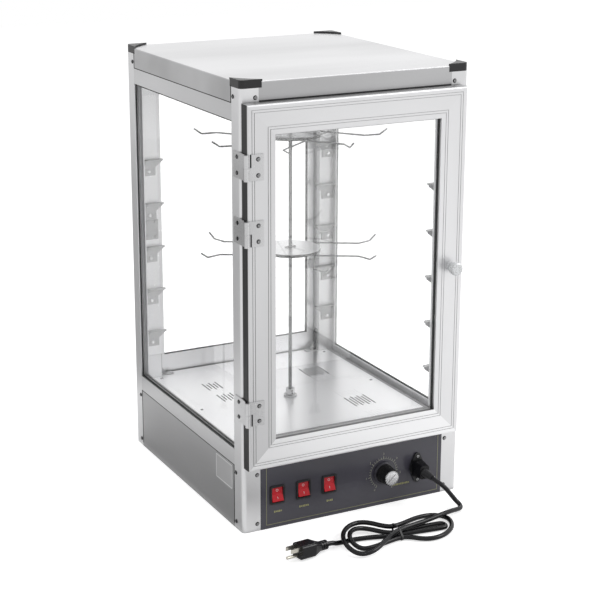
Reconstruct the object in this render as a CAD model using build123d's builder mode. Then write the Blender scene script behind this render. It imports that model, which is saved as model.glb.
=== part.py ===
from build123d import *
from math import acos, cos, dist, pi, radians, sin, tan
import os

os.makedirs("parts", exist_ok=True)

# Rotating display warmer for a shop counter. Millimetres, +Z up, the door side faces -Y.
# The origin is on the counter, under the axis of the rotor.

# Cabinet sizes
cab_w = 390.0
cab_d = 440.0
post_h = 696.0
post_face = 30.0
post_r = 7.0
skin = 2.0
fit = 0.1
seat = 0.3

# Corner post section, measured inward from the outer corner
glass_slot = 7.0
tube_back = 4.5
tube_w = 29.0
stop_lip = 10.0

# Base, rails and lid
base_h = 105.0
lid_lip = 24.0
lid_rise = 9.5
cap_t = 3.0
cap_leg = 36.0
cap_inset = 1.2
cap_hollow = 2.5
tab_in = 10.0
tab_out = 14.0
tab_trim = 2.0
edge_r = 1.8
pan_h = 14.0
pan_t = 1.5
rail_face = 26.0
rail_lip = 3.0
web_up = 5.0
sill_d = 14.0
ledge_up = 17.5
ledge_t = 1.6
ledge_w = 17.0
floor_t = 1.6
floor_in = 20.0

# Glass
glass_t = 4.0
glass_bite = 6.0
gasket_bite = 2.5
gasket_back = 0.5
rear_open_side = 14.0
rear_open_in = 51.0

# Door
door_left_in = 1.0
door_right_in = 13.0
door_up = 5.5
door_over = 3.5
door_gap = 2.0
door_t = 18.0
door_frame = 46.0
door_wall = 2.0
door_r = 3.0
door_groove = 0.8
door_slot = 8.0
door_slot_play = 2.4
door_gasket_bite = 2.0
knob_in = 23.0
knob_up = 3.5
knob_len = 22.0
knob_r = 10.5
knob_neck_r = 4.5

# Hinges
hinge_h = 39.0
hinge_drops = (91.5, 190.8)
hinge_up = 93.4
hinge_cabinet_up = (True, False, False)
hinge_out = (1.2, 1.6)
hinge_notch = 8.5
barrel_r = 3.75
pin_r = 1.6
pin_play = 0.05
leaf_t = 1.5
leaf_side = 22.6
leaf_front = 26.0
leaf_screw_side = 9.6
leaf_screw_front = 17.3
leaf_screw_z = 12.0
screw_r = 3.5
screw_h = 1.5
screw_taper = 40.0
cross_len = 3.6
cross_w = 0.9
cross_depth = 0.8

# Shelf brackets
bracket_up = 106.0
bracket_step = 76.0
bracket_rows = 5
bracket_t = 1.5
bracket_nose_in = 47.0
bracket_ledge = 10.0
bracket_tab = 28.0

# Rotor
rod_r = 3.0
rod_drop = 10.0
rod_short = 2.9
upper_drop = 73.9
lower_drop = 3.0
disc_r = 50.0
disc_t = 1.5
disc_skirt = 5.0
hub_r = 9.0
hub_h = 9.0
play = 0.05
wire_r = 1.25
wire_offset = 41.5
wire_straight = 113.5
wire_splay_along = 18.2
wire_splay_out = 19.0
wire_tip_along = 9.6
wire_tip_out = 8.2
wire_tip_up = 8.8
wire_bend = 4.0
upper_turn = -52.8
lower_turn = -29.7
collar_r = 7.5
collar_h = 10.8
bearing_r = 11.0
bearing_h = 2.9
bearing_sleeve_r = 6.0

# Control panel
switch_in = 59.0
switch_pitch = 46.0
switch_count = 3
control_z = 55.0
bezel_w = 25.5
bezel_h = 31.0
bezel_t = 2.0
switch_w = 22.0
switch_h = 27.6
switch_depth = 24.0
rocker_w = 19.0
rocker_h = 23.2
rocker_play = 0.25
rocker_tilt = 14.0
rocker_pivot = 3.0
dial_in = 139.0
dial_skirt_r = 19.0
dial_r0 = 15.0
dial_r1 = 13.0
dial_len = 25.0
dial_cap_r = 12.0
shaft_r = 3.0
inlet_in = 77.0
inlet_z = 53.0
inlet_flange_w = 27.0
inlet_flange_t = 3.0
inlet_screw = 20.0
recess_w = 16.8
recess_h = 24.6
plug_w = 16.2
plug_h = 24.0

# Drive and heating in the base
motor_r = 20.0
motor_h = 26.0
gearbox_w = 62.0
gearbox_d = 48.0
gearbox_h = 22.0
coupling_r = 7.0
coupling_h = 20.0
heater_r = 4.0
heater_in_x = 67.0
heater_in_y = 70.0
heater_drop = 10.0
heater_bend = 38.0

# Values that follow from the sizes above
x_out = cab_w / 2
y_out = cab_d / 2
panel_x = x_out - post_face - fit
panel_y = y_out - post_face - fit
slot_in = skin + glass_slot
tube_x = x_out - slot_in - tube_w
lid_z = post_h - lid_lip
lid_top = post_h + lid_rise
cap_top = lid_top + cap_t
mid_z = (base_h + lid_z) / 2
ledge_z = base_h + ledge_up
web_z = base_h + web_up
rail_top = base_h + rail_face
lip_top = rail_top + rail_lip
glass_p = skin + (glass_slot - glass_t) / 2
floor_z = ledge_z + floor_t
ceiling_z = 2 * mid_z - floor_z
floor_x = x_out - floor_in
floor_y = y_out - sill_d - seat
rear_open_x = tube_x - rear_open_side
rear_open_z0 = base_h + rear_open_in
rear_open_z1 = lid_z - rear_open_in
door_x0 = -x_out + door_left_in
door_x1 = x_out - door_right_in
door_z0 = base_h + door_up
door_z1 = lid_z + door_over
knob_x = door_x1 - knob_in
knob_z = mid_z + knob_up
hinge_zs = tuple(door_z1 - drop for drop in hinge_drops) + (door_z0 + hinge_up,)
hinge_axis = (-x_out - hinge_out[0], -y_out - door_gap - door_t - hinge_out[1])
bracket_z0 = base_h + bracket_up
bracket_nose = x_out - bracket_nose_in
rod_z0 = base_h - rod_drop
rod_z1 = ceiling_z - rod_short
upper_z = ceiling_z - upper_drop
lower_z = mid_z - lower_drop
switch_xs = tuple(-x_out + switch_in + i * switch_pitch for i in range(switch_count))
dial_x = x_out - dial_in
inlet_x = x_out - inlet_in
heater_x = x_out - heater_in_x
heater_y = y_out - heater_in_y


def rect(x0, x1, y0, y1, mode=Mode.ADD):
    # rectangle between two pairs of coordinates of the current sketch
    with Locations(((x0 + x1) / 2, (y0 + y1) / 2)):
        Rectangle(abs(x1 - x0), abs(y1 - y0), mode=mode)


# Corner posts: a rolled outer skin over a square tube, with a slot for the side glass
corner = Plane(origin=(-x_out, -y_out, 0))

with BuildPart() as front_posts:
    with BuildSketch(corner) as section:
        rect(0, post_face, 0, post_face)
        rect(skin, post_face, skin, post_face, mode=Mode.SUBTRACT)
        fillet(section.vertices().sort_by_distance((0, 0, 0))[0], post_r)
        fillet(section.vertices().sort_by_distance((skin, skin, 0))[0], post_r - skin)
        rect(slot_in, slot_in + tube_w, tube_back, post_face)
        rect(slot_in + skin, slot_in + tube_w - skin, tube_back + skin, post_face - skin, mode=Mode.SUBTRACT)
        rect(slot_in, slot_in + skin, skin, tube_back)
    extrude(amount=post_h)
    with BuildSketch(corner.offset(lip_top + fit)):
        rect(slot_in, slot_in + skin, post_face, post_face + stop_lip)
    extrude(amount=2 * (mid_z - lip_top - fit))
    mirror(about=Plane.YZ)
front_posts.part.label = "front_posts"
export_step(front_posts.part, "parts/front_posts.step")

with BuildPart() as rear_posts:
    mirror(front_posts.part, about=Plane.XZ)
rear_posts.part.label = "rear_posts"
export_step(rear_posts.part, "parts/rear_posts.step")

# Base pan: a cross-shaped tray notched round the posts, its underside stands on the counter
with BuildPart() as base_pan:
    with BuildSketch():
        Rectangle(2 * (panel_x - tab_in - fit), cab_d - 2 * skin)
        Rectangle(cab_w - 2 * skin, 2 * (panel_y - tab_in - fit))
    extrude(amount=pan_h)
    offset(amount=-pan_t, openings=base_pan.faces().sort_by(Axis.Z)[-1])
base_pan.part.label = "base_pan"
export_step(base_pan.part, "parts/base_pan.step")


def front_wall():
    # plan of a front wall with the tabs that tuck behind the post skins
    rect(-panel_x, panel_x, -y_out, -y_out + skin)
    for side in (-1, 1):
        rect(side * (panel_x - tab_in), side * (panel_x + tab_out), -y_out + skin, -y_out + 2 * skin)


def left_wall():
    # the same for the left side
    rect(-x_out, -x_out + skin, -panel_y, panel_y)
    for side in (-1, 1):
        rect(-x_out + skin, -x_out + 2 * skin, side * (panel_y - tab_in), side * (panel_y + tab_out))


# Control panel with its cut-outs
bush_r = 5.0

with BuildPart() as control_panel:
    with BuildSketch():
        front_wall()
    extrude(amount=base_h)
    with BuildSketch(Plane.XZ.offset(y_out)):
        with Locations(*[(x, control_z) for x in switch_xs]):
            Rectangle(switch_w + 2 * fit, switch_h + 2 * fit)
        with Locations((dial_x, control_z)):
            Circle(bush_r + fit)
        with Locations((inlet_x, inlet_z)):
            Rectangle(recess_w + 2 * skin + 2 * fit, recess_h + 2 * skin + 2 * fit)
    extrude(amount=-3 * skin, mode=Mode.SUBTRACT)
control_panel.part.label = "control_panel"
export_step(control_panel.part, "parts/control_panel.step")

# Rear base panel with two rows of vent slots
vent_len = 24.0
vent_w = 3.0
vent_step = 10.0
vent_count = 12
vent_rows = 2
vent_row_step = 40.0

with BuildPart() as base_rear_panel:
    with BuildSketch():
        front_wall()
        mirror(about=Plane.XZ)
        rect(-x_out, x_out, -y_out - skin, 0, mode=Mode.SUBTRACT)
    extrude(amount=base_h)
    with BuildSketch(Plane.XZ.offset(-y_out - skin)):
        with Locations((0, base_h / 2)):
            with GridLocations(vent_step, vent_row_step, vent_count, vent_rows):
                SlotOverall(vent_len, vent_w, rotation=90)
    extrude(amount=3 * skin, mode=Mode.SUBTRACT)
base_rear_panel.part.label = "base_rear_panel"
export_step(base_rear_panel.part, "parts/base_rear_panel.step")

with BuildPart() as base_side_panels:
    with BuildSketch():
        left_wall()
    extrude(amount=base_h)
    mirror(about=Plane.YZ)
base_side_panels.part.label = "base_side_panels"
export_step(base_side_panels.part, "parts/base_side_panels.step")

# Side rails: a channel that takes the edge of the glass, with a ledge for the floor
rail_plane = Plane(origin=(-x_out, 0, 0), x_dir=(1, 0, 0), z_dir=(0, -1, 0))

with BuildPart() as lower_rails:
    with BuildSketch(rail_plane):
        rect(0, skin, base_h, rail_top)
        rect(0, slot_in, web_z, web_z + skin)
        rect(slot_in, slot_in + skin, web_z, lip_top)
        rect(slot_in, slot_in + skin + ledge_w, ledge_z - ledge_t, ledge_z)
    extrude(amount=panel_y, both=True)
    mirror(about=Plane.YZ)
lower_rails.part.label = "lower_rails"
export_step(lower_rails.part, "parts/lower_rails.step")

with BuildPart() as upper_rails:
    mirror(lower_rails.part, about=Plane.XY.offset(mid_z))
upper_rails.part.label = "upper_rails"
export_step(upper_rails.part, "parts/upper_rails.step")

# Sill and header that the door closes over
with BuildPart() as front_rails:
    with BuildSketch(Plane.YZ):
        rect(-y_out, -y_out + skin, base_h, rail_top)
    extrude(amount=panel_x, both=True)
    with BuildSketch(Plane.YZ):
        rect(-y_out, -y_out + sill_d, rail_top - skin, rail_top)
        rect(-y_out + sill_d - skin, -y_out + sill_d, web_z, rail_top)
        rect(-y_out + sill_d - skin, -y_out + sill_d + ledge_w, ledge_z - ledge_t, ledge_z)
    extrude(amount=tube_x - fit, both=True)
    mirror(about=Plane.XY.offset(mid_z))
front_rails.part.label = "front_rails"
export_step(front_rails.part, "parts/front_rails.step")

# Rear frame round the fixed rear glass: outer skin, edge web, inner wall and two ledges
rear_side = tube_x - fit
rear_edge = tube_x - fit - skin
rear_margin = rear_edge - rear_open_x
rear_glass_y = y_out - glass_p - glass_t

with BuildPart() as rear_frame:
    with BuildSketch(Plane.XZ.offset(-y_out)):
        rect(-panel_x, panel_x, base_h, 2 * mid_z - base_h)
        rect(-rear_open_x, rear_open_x, rear_open_z0, rear_open_z1, mode=Mode.SUBTRACT)
    extrude(amount=skin)
    with BuildSketch(Plane.XZ.offset(-y_out + skin)):
        rect(-rear_side, rear_side, rear_open_z0 - rear_margin - skin, rear_open_z1 + rear_margin + skin)
        rect(-rear_edge, rear_edge, rear_open_z0 - rear_margin, rear_open_z1 + rear_margin, mode=Mode.SUBTRACT)
    extrude(amount=glass_slot)
    with BuildSketch(Plane.XZ.offset(-y_out + skin + glass_slot)):
        rect(-rear_side, rear_side, web_z, 2 * mid_z - web_z)
        rect(-rear_open_x, rear_open_x, rear_open_z0, rear_open_z1, mode=Mode.SUBTRACT)
    extrude(amount=skin)
    with BuildSketch(Plane.YZ):
        rect(floor_y - ledge_w, y_out - slot_in, ledge_z - ledge_t, ledge_z)
        mirror(about=Plane.XZ.offset(-mid_z))
    extrude(amount=rear_side, both=True)
rear_frame.part.label = "rear_frame"
export_step(rear_frame.part, "parts/rear_frame.step")

# Lid with folded lips, and the black caps on its corners
with BuildPart() as lid:
    with BuildSketch(Plane.XY.offset(lid_top - skin)):
        Rectangle(cab_w, cab_d)
    extrude(amount=skin)
    with BuildSketch(Plane.XY.offset(lid_z)):
        rect(-panel_x, panel_x, -y_out, -y_out + skin)
        rect(-x_out, -x_out + skin, -panel_y, panel_y)
        mirror(about=Plane.XZ)
        mirror(about=Plane.YZ)
    extrude(amount=lid_top - skin - lid_z)
    fillet(lid.edges().group_by(Axis.Z)[-1], edge_r)
    with BuildSketch(Plane.XY.offset(lid_z)):
        rect(panel_x - tab_in, panel_x + tab_out, -y_out + skin, -y_out + 2 * skin)
        rect(x_out - 2 * skin, x_out - skin, -panel_y - tab_out, -panel_y + tab_in)
        mirror(about=Plane.XZ)
        mirror(about=Plane.YZ)
    extrude(amount=post_h - lid_z - tab_trim)
    with BuildSketch(corner.offset(post_h)) as cap_seat:
        with BuildLine():
            Polyline((0, 0), (cap_leg - cap_inset + seat, 0), (0, cap_leg - cap_inset + seat), close=True)
        make_face()
    cut = extrude(amount=lid_top - post_h, mode=Mode.SUBTRACT)
    mirror(cut, about=Plane.YZ, mode=Mode.SUBTRACT)
    mirror(cut, about=Plane.XZ, mode=Mode.SUBTRACT)
    mirror(mirror(cut, about=Plane.XZ, mode=Mode.PRIVATE), about=Plane.YZ, mode=Mode.SUBTRACT)
lid.part.label = "lid"
export_step(lid.part, "parts/lid.step")

with BuildPart() as one_cap:
    with BuildSketch(corner.offset(lid_top)) as cap_plan:
        with BuildLine():
            Polyline((cap_leg, 0), (0, 0), (0, cap_leg))
            ThreePointArc((0, cap_leg), (cap_leg / 2 - cap_hollow, cap_leg / 2 - cap_hollow), (cap_leg, 0))
        make_face()
        fillet(cap_plan.vertices().sort_by_distance((0, 0, 0))[0], post_r)
    extrude(amount=cap_top - lid_top)
    with BuildSketch(corner.offset(post_h)) as cap_foot:
        with BuildLine():
            Polyline((cap_leg - cap_inset, 0), (0, 0), (0, cap_leg - cap_inset), close=True)
        make_face()
        fillet(cap_foot.vertices().sort_by_distance((0, 0, 0))[0], post_r)
    extrude(amount=lid_top - post_h)

with BuildPart() as corner_caps:
    add(one_cap.part)
    mirror(about=Plane.YZ)
    mirror(about=Plane.XZ)
corner_caps.part.label = "corner_caps"
export_step(corner_caps.part, "parts/corner_caps.step")

# Side and rear glass with their black gaskets
glass_z0 = rail_top - 2 * glass_bite - fit
gasket_z0 = web_z + skin + seat
gasket_t = glass_slot - 2 * seat
gasket_lip = glass_p - skin - seat
side_y = panel_y + fit

with BuildPart() as side_glass:
    with BuildSketch(Plane.YZ.offset(-x_out + glass_p)):
        rect(-side_y - glass_bite / 2, side_y + glass_bite / 2, glass_z0, 2 * mid_z - glass_z0)
    extrude(amount=glass_t)
    mirror(about=Plane.YZ)
side_glass.part.label = "side_glass"
export_step(side_glass.part, "parts/side_glass.step")

with BuildPart() as rear_glass:
    with BuildSketch(Plane.XZ.offset(-y_out + glass_p)):
        rect(-rear_edge + glass_bite / 2, rear_edge - glass_bite / 2,
             rear_open_z0 - rear_margin + glass_bite / 2, rear_open_z1 + rear_margin - glass_bite / 2)
    extrude(amount=glass_t)
rear_glass.part.label = "rear_glass"
export_step(rear_glass.part, "parts/rear_glass.step")



def side_gasket(inside, up):
    # ring round the side opening, its inner edge so far inside the posts and above the rail
    rect(-side_y - glass_bite, side_y + glass_bite, gasket_z0, 2 * mid_z - gasket_z0)
    rect(-side_y + inside, side_y - inside, rail_top + up, 2 * mid_z - rail_top - up, mode=Mode.SUBTRACT)


with BuildPart() as glass_gaskets:
    with BuildSketch(Plane.YZ.offset(-x_out + skin + seat)):
        side_gasket(-gasket_back, -gasket_back)
    extrude(amount=gasket_t)
    with BuildSketch(Plane.YZ.offset(-x_out + skin + seat)):
        side_gasket(gasket_bite, gasket_bite)
    extrude(amount=gasket_lip)
    mirror(about=Plane.YZ)
    with BuildSketch(Plane.XZ.offset(-y_out + skin + seat)):
        rect(-rear_edge + fit, rear_edge - fit,
             rear_open_z0 - rear_margin + fit, rear_open_z1 + rear_margin - fit)
        rect(-rear_open_x, rear_open_x, rear_open_z0, rear_open_z1, mode=Mode.SUBTRACT)
    extrude(amount=gasket_t)
    add(side_glass.part, mode=Mode.SUBTRACT)
    add(rear_glass.part, mode=Mode.SUBTRACT)
glass_gaskets.part.label = "glass_gaskets"
export_step(glass_gaskets.part, "parts/glass_gaskets.step")

# Cabinet floor with groups of warm-air slots, and the plain ceiling above
slot_w = 2.5
slot_pitch = 6.0
left_slots = (5, 36.0, 23.0)
right_slots = (7, 45.0, 32.0)
slot_groups = ((-99.0, 102.0, left_slots), (-99.0, 41.0, left_slots),
               (94.0, 91.0, right_slots), (94.0, -74.0, right_slots))
post_notch = y_out - post_face - seat


def floor_outline():
    # the plate between the rails, notched round the four posts
    Rectangle(2 * floor_x, 2 * floor_y)
    for sx in (-1, 1):
        for sy in (-1, 1):
            rect(sx * (tube_x - seat), sx * x_out, sy * post_notch, sy * y_out, mode=Mode.SUBTRACT)


with BuildPart() as floor_plate:
    with BuildSketch(Plane.XY.offset(ledge_z)):
        floor_outline()
        Circle(bearing_sleeve_r + fit, mode=Mode.SUBTRACT)
        for x_mid, y_mid, (count, long_slot, short_slot) in slot_groups:
            for i in range(count):
                with Locations((x_mid + (i - (count - 1) / 2) * slot_pitch, y_mid)):
                    SlotOverall(long_slot if i % 2 == 0 else short_slot, slot_w, rotation=90,
                                mode=Mode.SUBTRACT)
    extrude(amount=floor_t)
floor_plate.part.label = "floor_plate"
export_step(floor_plate.part, "parts/floor_plate.step")

with BuildPart() as ceiling_plate:
    with BuildSketch(Plane.XY.offset(ceiling_z)):
        floor_outline()
        Circle(bearing_sleeve_r + fit, mode=Mode.SUBTRACT)
    extrude(amount=floor_t)
ceiling_plate.part.label = "ceiling_plate"
export_step(ceiling_plate.part, "parts/ceiling_plate.step")

# Shelf brackets: five on the inner face of each post
bracket_x = x_out - slot_in - skin - seat
post_inner_y = y_out - post_face
bracket_step_x = x_out - 34.0
bracket_rise = 14.0
bracket_nose_t = 4.0
gusset_drop = 10.0
nose_r = 5.0
rivet_x = x_out - 22.0
rivet_drop = 21.0
rivet_r = 3.0
rivet_h = 1.2

with BuildPart() as one_bracket:
    with BuildSketch(Plane.XZ.offset(post_inner_y)):
        with BuildLine():
            Polyline((-bracket_x, 0), (-bracket_nose, 0), (-bracket_nose, -bracket_nose_t),
                     (-bracket_step_x, -bracket_rise), (-bracket_step_x, -bracket_tab),
                     (-bracket_x, -bracket_tab), close=True)
        make_face()
    extrude(amount=-bracket_t)
    with BuildSketch(Plane.XY.offset(-bracket_t)) as ledge:
        rect(-bracket_x, -bracket_nose, -post_inner_y, -post_inner_y + bracket_ledge)
        fillet(ledge.vertices().sort_by_distance((-bracket_nose, -post_inner_y + bracket_ledge, 0))[0], nose_r)
    extrude(amount=bracket_t)
    with BuildSketch(Plane.YZ.offset(-bracket_x)):
        with BuildLine():
            Polyline((-post_inner_y, 0), (-post_inner_y + bracket_ledge, 0),
                     (-post_inner_y, -gusset_drop), close=True)
        make_face()
    extrude(amount=bracket_t)
    with BuildSketch(Plane.XZ.offset(post_inner_y - bracket_t)):
        with Locations((-rivet_x, -rivet_drop)):
            Circle(rivet_r)
    extrude(amount=-rivet_h)

with BuildPart() as shelf_brackets_left:
    with Locations(*[(0, 0, bracket_z0 + i * bracket_step) for i in range(bracket_rows)]):
        add(one_bracket.part)
    mirror(about=Plane.XZ)
shelf_brackets_left.part.label = "shelf_brackets_left"
export_step(shelf_brackets_left.part, "parts/shelf_brackets_left.step")

with BuildPart() as shelf_brackets_right:
    mirror(shelf_brackets_left.part, about=Plane.YZ)
shelf_brackets_right.part.label = "shelf_brackets_right"
export_step(shelf_brackets_right.part, "parts/shelf_brackets_right.step")

# Corner brackets that tie the floor to the posts, and a riveted plate on the rear left post
foot_len = 24.0
foot_w = 12.0
foot_up = 40.0
foot_web = 15.0
foot_rivet_up = 31.0
foot_y0 = post_inner_y + seat + skin

with BuildPart() as one_foot:
    with BuildSketch(Plane.XZ.offset(foot_y0)):
        with BuildLine():
            Polyline((-tube_x, floor_z), (-tube_x + foot_len, floor_z), (-tube_x + foot_len, floor_z + skin),
                     (-tube_x + skin, floor_z + skin), (-tube_x + skin, floor_z + foot_up),
                     (-tube_x, floor_z + foot_up), close=True)
        make_face()
    extrude(amount=foot_w)
    with BuildSketch(Plane.XZ.offset(foot_y0 + foot_w / 2)):
        with BuildLine():
            Polyline((-tube_x + skin, floor_z + skin), (-tube_x + foot_web, floor_z + skin),
                     (-tube_x + skin, floor_z + foot_web), close=True)
        make_face()
    extrude(amount=skin)
    with BuildSketch(Plane.YZ.offset(-tube_x + skin)):
        with Locations((-foot_y0 - foot_w / 2, floor_z + foot_rivet_up)):
            Circle(rivet_r)
    extrude(amount=rivet_h)

with BuildPart() as floor_brackets:
    add(one_foot.part)
    mirror(about=Plane.YZ)
    mirror(about=Plane.XZ)
floor_brackets.part.label = "floor_brackets"
export_step(floor_brackets.part, "parts/floor_brackets.step")

plate_x = -x_out + 25.0
plate_z = mid_z + 4.0
plate_w = 24.0
plate_h = 35.0
plate_rivet_w = 16.0
plate_rivet_h = 26.0

with BuildPart() as catch_plate:
    with BuildSketch(Plane.XZ.offset(-post_inner_y)):
        with Locations((plate_x, plate_z)):
            Rectangle(plate_w, plate_h)
    extrude(amount=bracket_t)
    with BuildSketch(Plane.XZ.offset(-post_inner_y + bracket_t)):
        with Locations((plate_x, plate_z)):
            with GridLocations(plate_rivet_w, plate_rivet_h, 2, 2):
                Circle(rivet_r)
    extrude(amount=rivet_h)
catch_plate.part.label = "catch_plate"
export_step(catch_plate.part, "parts/catch_plate.step")

# Door: four mitred hollow sections round the glass
door_back = -y_out - door_gap
door_face = door_back - door_t
door_mid = door_back - door_t / 2
groove_at = (8.0, 12.0, 34.0, 38.0)
door_slot_t = glass_t + door_slot_play


def door_profile(sketch):
    # section of a door member, x from the outer edge inward, y from the back to the face
    rect(0, door_frame, 0, door_t)
    fillet(sketch.vertices().sort_by_distance((0, door_t, 0))[0], door_r)
    rect(door_wall, door_frame - door_slot - door_wall, door_wall, door_t - door_wall, mode=Mode.SUBTRACT)
    rect(door_frame - door_slot, door_frame, (door_t - door_slot_t) / 2, (door_t + door_slot_t) / 2,
         mode=Mode.SUBTRACT)
    for w in groove_at:
        rect(w - door_groove / 2, w + door_groove / 2, door_t - door_groove, door_t, mode=Mode.SUBTRACT)


stile_plane = Plane(origin=(door_x0, door_back, door_z0), x_dir=(1, 0, 0), z_dir=(0, 0, -1))
stile_len = door_z1 - door_z0

with BuildPart() as door_left_stile:
    with BuildSketch(stile_plane) as stile_section:
        door_profile(stile_section)
    extrude(amount=-stile_len)
    with BuildSketch(Plane.XZ.offset(-door_back)):
        with BuildLine():
            Polyline((door_x0, door_z0), (door_x0 + door_frame, door_z0 + door_frame),
                     (door_x0 + door_frame, door_z1 - door_frame), (door_x0, door_z1), close=True)
        make_face()
    extrude(amount=door_t, mode=Mode.INTERSECT)
door_left_stile.part.label = "door_left_stile"
export_step(door_left_stile.part, "parts/door_left_stile.step")

with BuildPart() as door_right_stile:
    mirror(door_left_stile.part, about=Plane.YZ.offset((door_x0 + door_x1) / 2))
door_right_stile.part.label = "door_right_stile"
export_step(door_right_stile.part, "parts/door_right_stile.step")

rail_start = Plane(origin=(door_x0, door_back, door_z0), x_dir=(0, 0, 1), z_dir=(1, 0, 0))
rail_len = door_x1 - door_x0

with BuildPart() as door_bottom_rail:
    with BuildSketch(rail_start) as member_section:
        door_profile(member_section)
    extrude(amount=rail_len)
    with BuildSketch(Plane.XZ.offset(-door_back)):
        with BuildLine():
            Polyline((door_x0, door_z0), (door_x0 + door_frame, door_z0 + door_frame),
                     (door_x1 - door_frame, door_z0 + door_frame), (door_x1, door_z0), close=True)
        make_face()
    extrude(amount=door_t, mode=Mode.INTERSECT)
door_bottom_rail.part.label = "door_bottom_rail"
export_step(door_bottom_rail.part, "parts/door_bottom_rail.step")

with BuildPart() as door_top_rail:
    mirror(door_bottom_rail.part, about=Plane.XY.offset((door_z0 + door_z1) / 2))
door_top_rail.part.label = "door_top_rail"
export_step(door_top_rail.part, "parts/door_top_rail.step")

# Door glass in its gasket, and the round knob
door_glass_z = -door_mid - glass_t / 2
door_open_x0 = door_x0 + door_frame
door_open_x1 = door_x1 - door_frame
door_open_z0 = door_z0 + door_frame
door_open_z1 = door_z1 - door_frame

with BuildPart() as door_glass:
    with BuildSketch(Plane.XZ.offset(door_glass_z)):
        rect(door_open_x0 - glass_bite, door_open_x1 + glass_bite,
             door_open_z0 - glass_bite, door_open_z1 + glass_bite)
    extrude(amount=glass_t)
door_glass.part.label = "door_glass"
export_step(door_glass.part, "parts/door_glass.step")



def door_gasket_ring(inside):
    # ring round the door's opening, its inner edge so far inside the frame
    rect(door_open_x0 - door_slot + fit, door_open_x1 + door_slot - fit,
         door_open_z0 - door_slot + fit, door_open_z1 + door_slot - fit)
    rect(door_open_x0 + inside, door_open_x1 - inside, door_open_z0 + inside, door_open_z1 - inside,
         mode=Mode.SUBTRACT)


with BuildPart() as door_gasket:
    with BuildSketch(Plane.XZ.offset(-door_mid - door_slot_t / 2 + fit)):
        door_gasket_ring(-gasket_back)
    extrude(amount=door_slot_t - 2 * fit)
    with BuildSketch(Plane.XZ.offset(-door_mid + glass_t / 2)):
        door_gasket_ring(door_gasket_bite)
    extrude(amount=door_slot_play / 2 - fit)
    add(door_glass.part, mode=Mode.SUBTRACT)
door_gasket.part.label = "door_gasket"
export_step(door_gasket.part, "parts/door_gasket.step")

knob_foot_r = 7.0
knob_foot_t = 2.0
knob_head_t = 9.0

with BuildPart() as door_knob:
    with BuildSketch(Plane(origin=(knob_x, door_face, knob_z), x_dir=(1, 0, 0), z_dir=(0, 0, 1))) as knob_half:
        rect(0, knob_foot_r, -knob_foot_t, 0)
        rect(0, knob_neck_r, -knob_len, 0)
        rect(0, knob_r, -knob_len, -knob_len + knob_head_t)
        fillet(knob_half.vertices().sort_by_distance((knob_r, -knob_len, 0))[0], knob_head_t / 3)
    revolve(axis=Axis((knob_x, door_face, knob_z), (0, 1, 0)))
door_knob.part.label = "door_knob"
export_step(door_knob.part, "parts/door_knob.step")

# Two-knuckle hinges: one leaf on the post's side face, the other on the door's face
axis_x, axis_y = hinge_axis
knuckle_gap = 0.2
knuckle_h = (hinge_h - knuckle_gap) / 2


def knuckle_z(up):
    # middle of the upper or lower knuckle, from the middle of the hinge
    return (1 if up else -1) * (knuckle_h + knuckle_gap) / 2


def cabinet_leaf(z, up):
    # leaf against the side of the post, with its knuckle and the pin
    with BuildPart() as leaf:
        with BuildSketch(Plane.YZ.offset(-x_out - leaf_t)):
            rect(axis_y + hinge_notch, -y_out + leaf_side, z - hinge_h / 2, z + hinge_h / 2)
            with Locations((axis_y + hinge_notch / 2, z + knuckle_z(up))):
                Rectangle(hinge_notch, knuckle_h)
        extrude(amount=leaf_t)
        with BuildSketch(Plane.XY.offset(z + knuckle_z(up) - knuckle_h / 2)):
            with Locations(hinge_axis):
                Circle(barrel_r)
        extrude(amount=knuckle_h)
        with BuildSketch(Plane.XY.offset(z - hinge_h / 2)):
            with Locations(hinge_axis):
                Circle(pin_r)
        extrude(amount=hinge_h)
    return leaf.part


def door_leaf(z, up):
    # leaf on the face of the door, with its bored knuckle
    with BuildPart() as leaf:
        with BuildSketch(Plane.XZ.offset(-door_face)):
            rect(axis_x + hinge_notch, door_x0 + leaf_front, z - hinge_h / 2, z + hinge_h / 2)
            with Locations((axis_x + hinge_notch / 2, z + knuckle_z(up))):
                Rectangle(hinge_notch, knuckle_h)
        extrude(amount=leaf_t)
        with BuildSketch(Plane.XY.offset(z + knuckle_z(up) - knuckle_h / 2)):
            with Locations(hinge_axis):
                Circle(barrel_r)
        extrude(amount=knuckle_h)
        with BuildSketch(Plane.XY.offset(z + knuckle_z(up) - knuckle_h / 2)):
            with Locations(hinge_axis):
                Circle(pin_r + pin_play)
        extrude(amount=knuckle_h, mode=Mode.SUBTRACT)
    return leaf.part


with BuildPart() as hinge_cabinet_leaves:
    for z, up in zip(hinge_zs, hinge_cabinet_up):
        add(cabinet_leaf(z, up))
hinge_cabinet_leaves.part.label = "hinge_cabinet_leaves"
export_step(hinge_cabinet_leaves.part, "parts/hinge_cabinet_leaves.step")

with BuildPart() as hinge_door_leaves:
    for z, up in zip(hinge_zs, hinge_cabinet_up):
        add(door_leaf(z, not up))
hinge_door_leaves.part.label = "hinge_door_leaves"
export_step(hinge_door_leaves.part, "parts/hinge_door_leaves.step")

# Screw heads, grouped by the body that carries them
hinge_screw_zs = [z + side * leaf_screw_z for z in hinge_zs for side in (-1, 1)]



def screw_heads(plane, places):
    # tapered round heads on a plane, each with a cross recess
    with BuildPart() as heads:
        with BuildSketch(plane):
            with Locations(*places):
                Circle(screw_r)
        extrude(amount=screw_h, taper=screw_taper)
        with BuildSketch(plane.offset(screw_h)):
            with Locations(*places):
                Rectangle(cross_len, cross_w)
                Rectangle(cross_w, cross_len)
        extrude(amount=-cross_depth, mode=Mode.SUBTRACT)
    return heads.part


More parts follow.
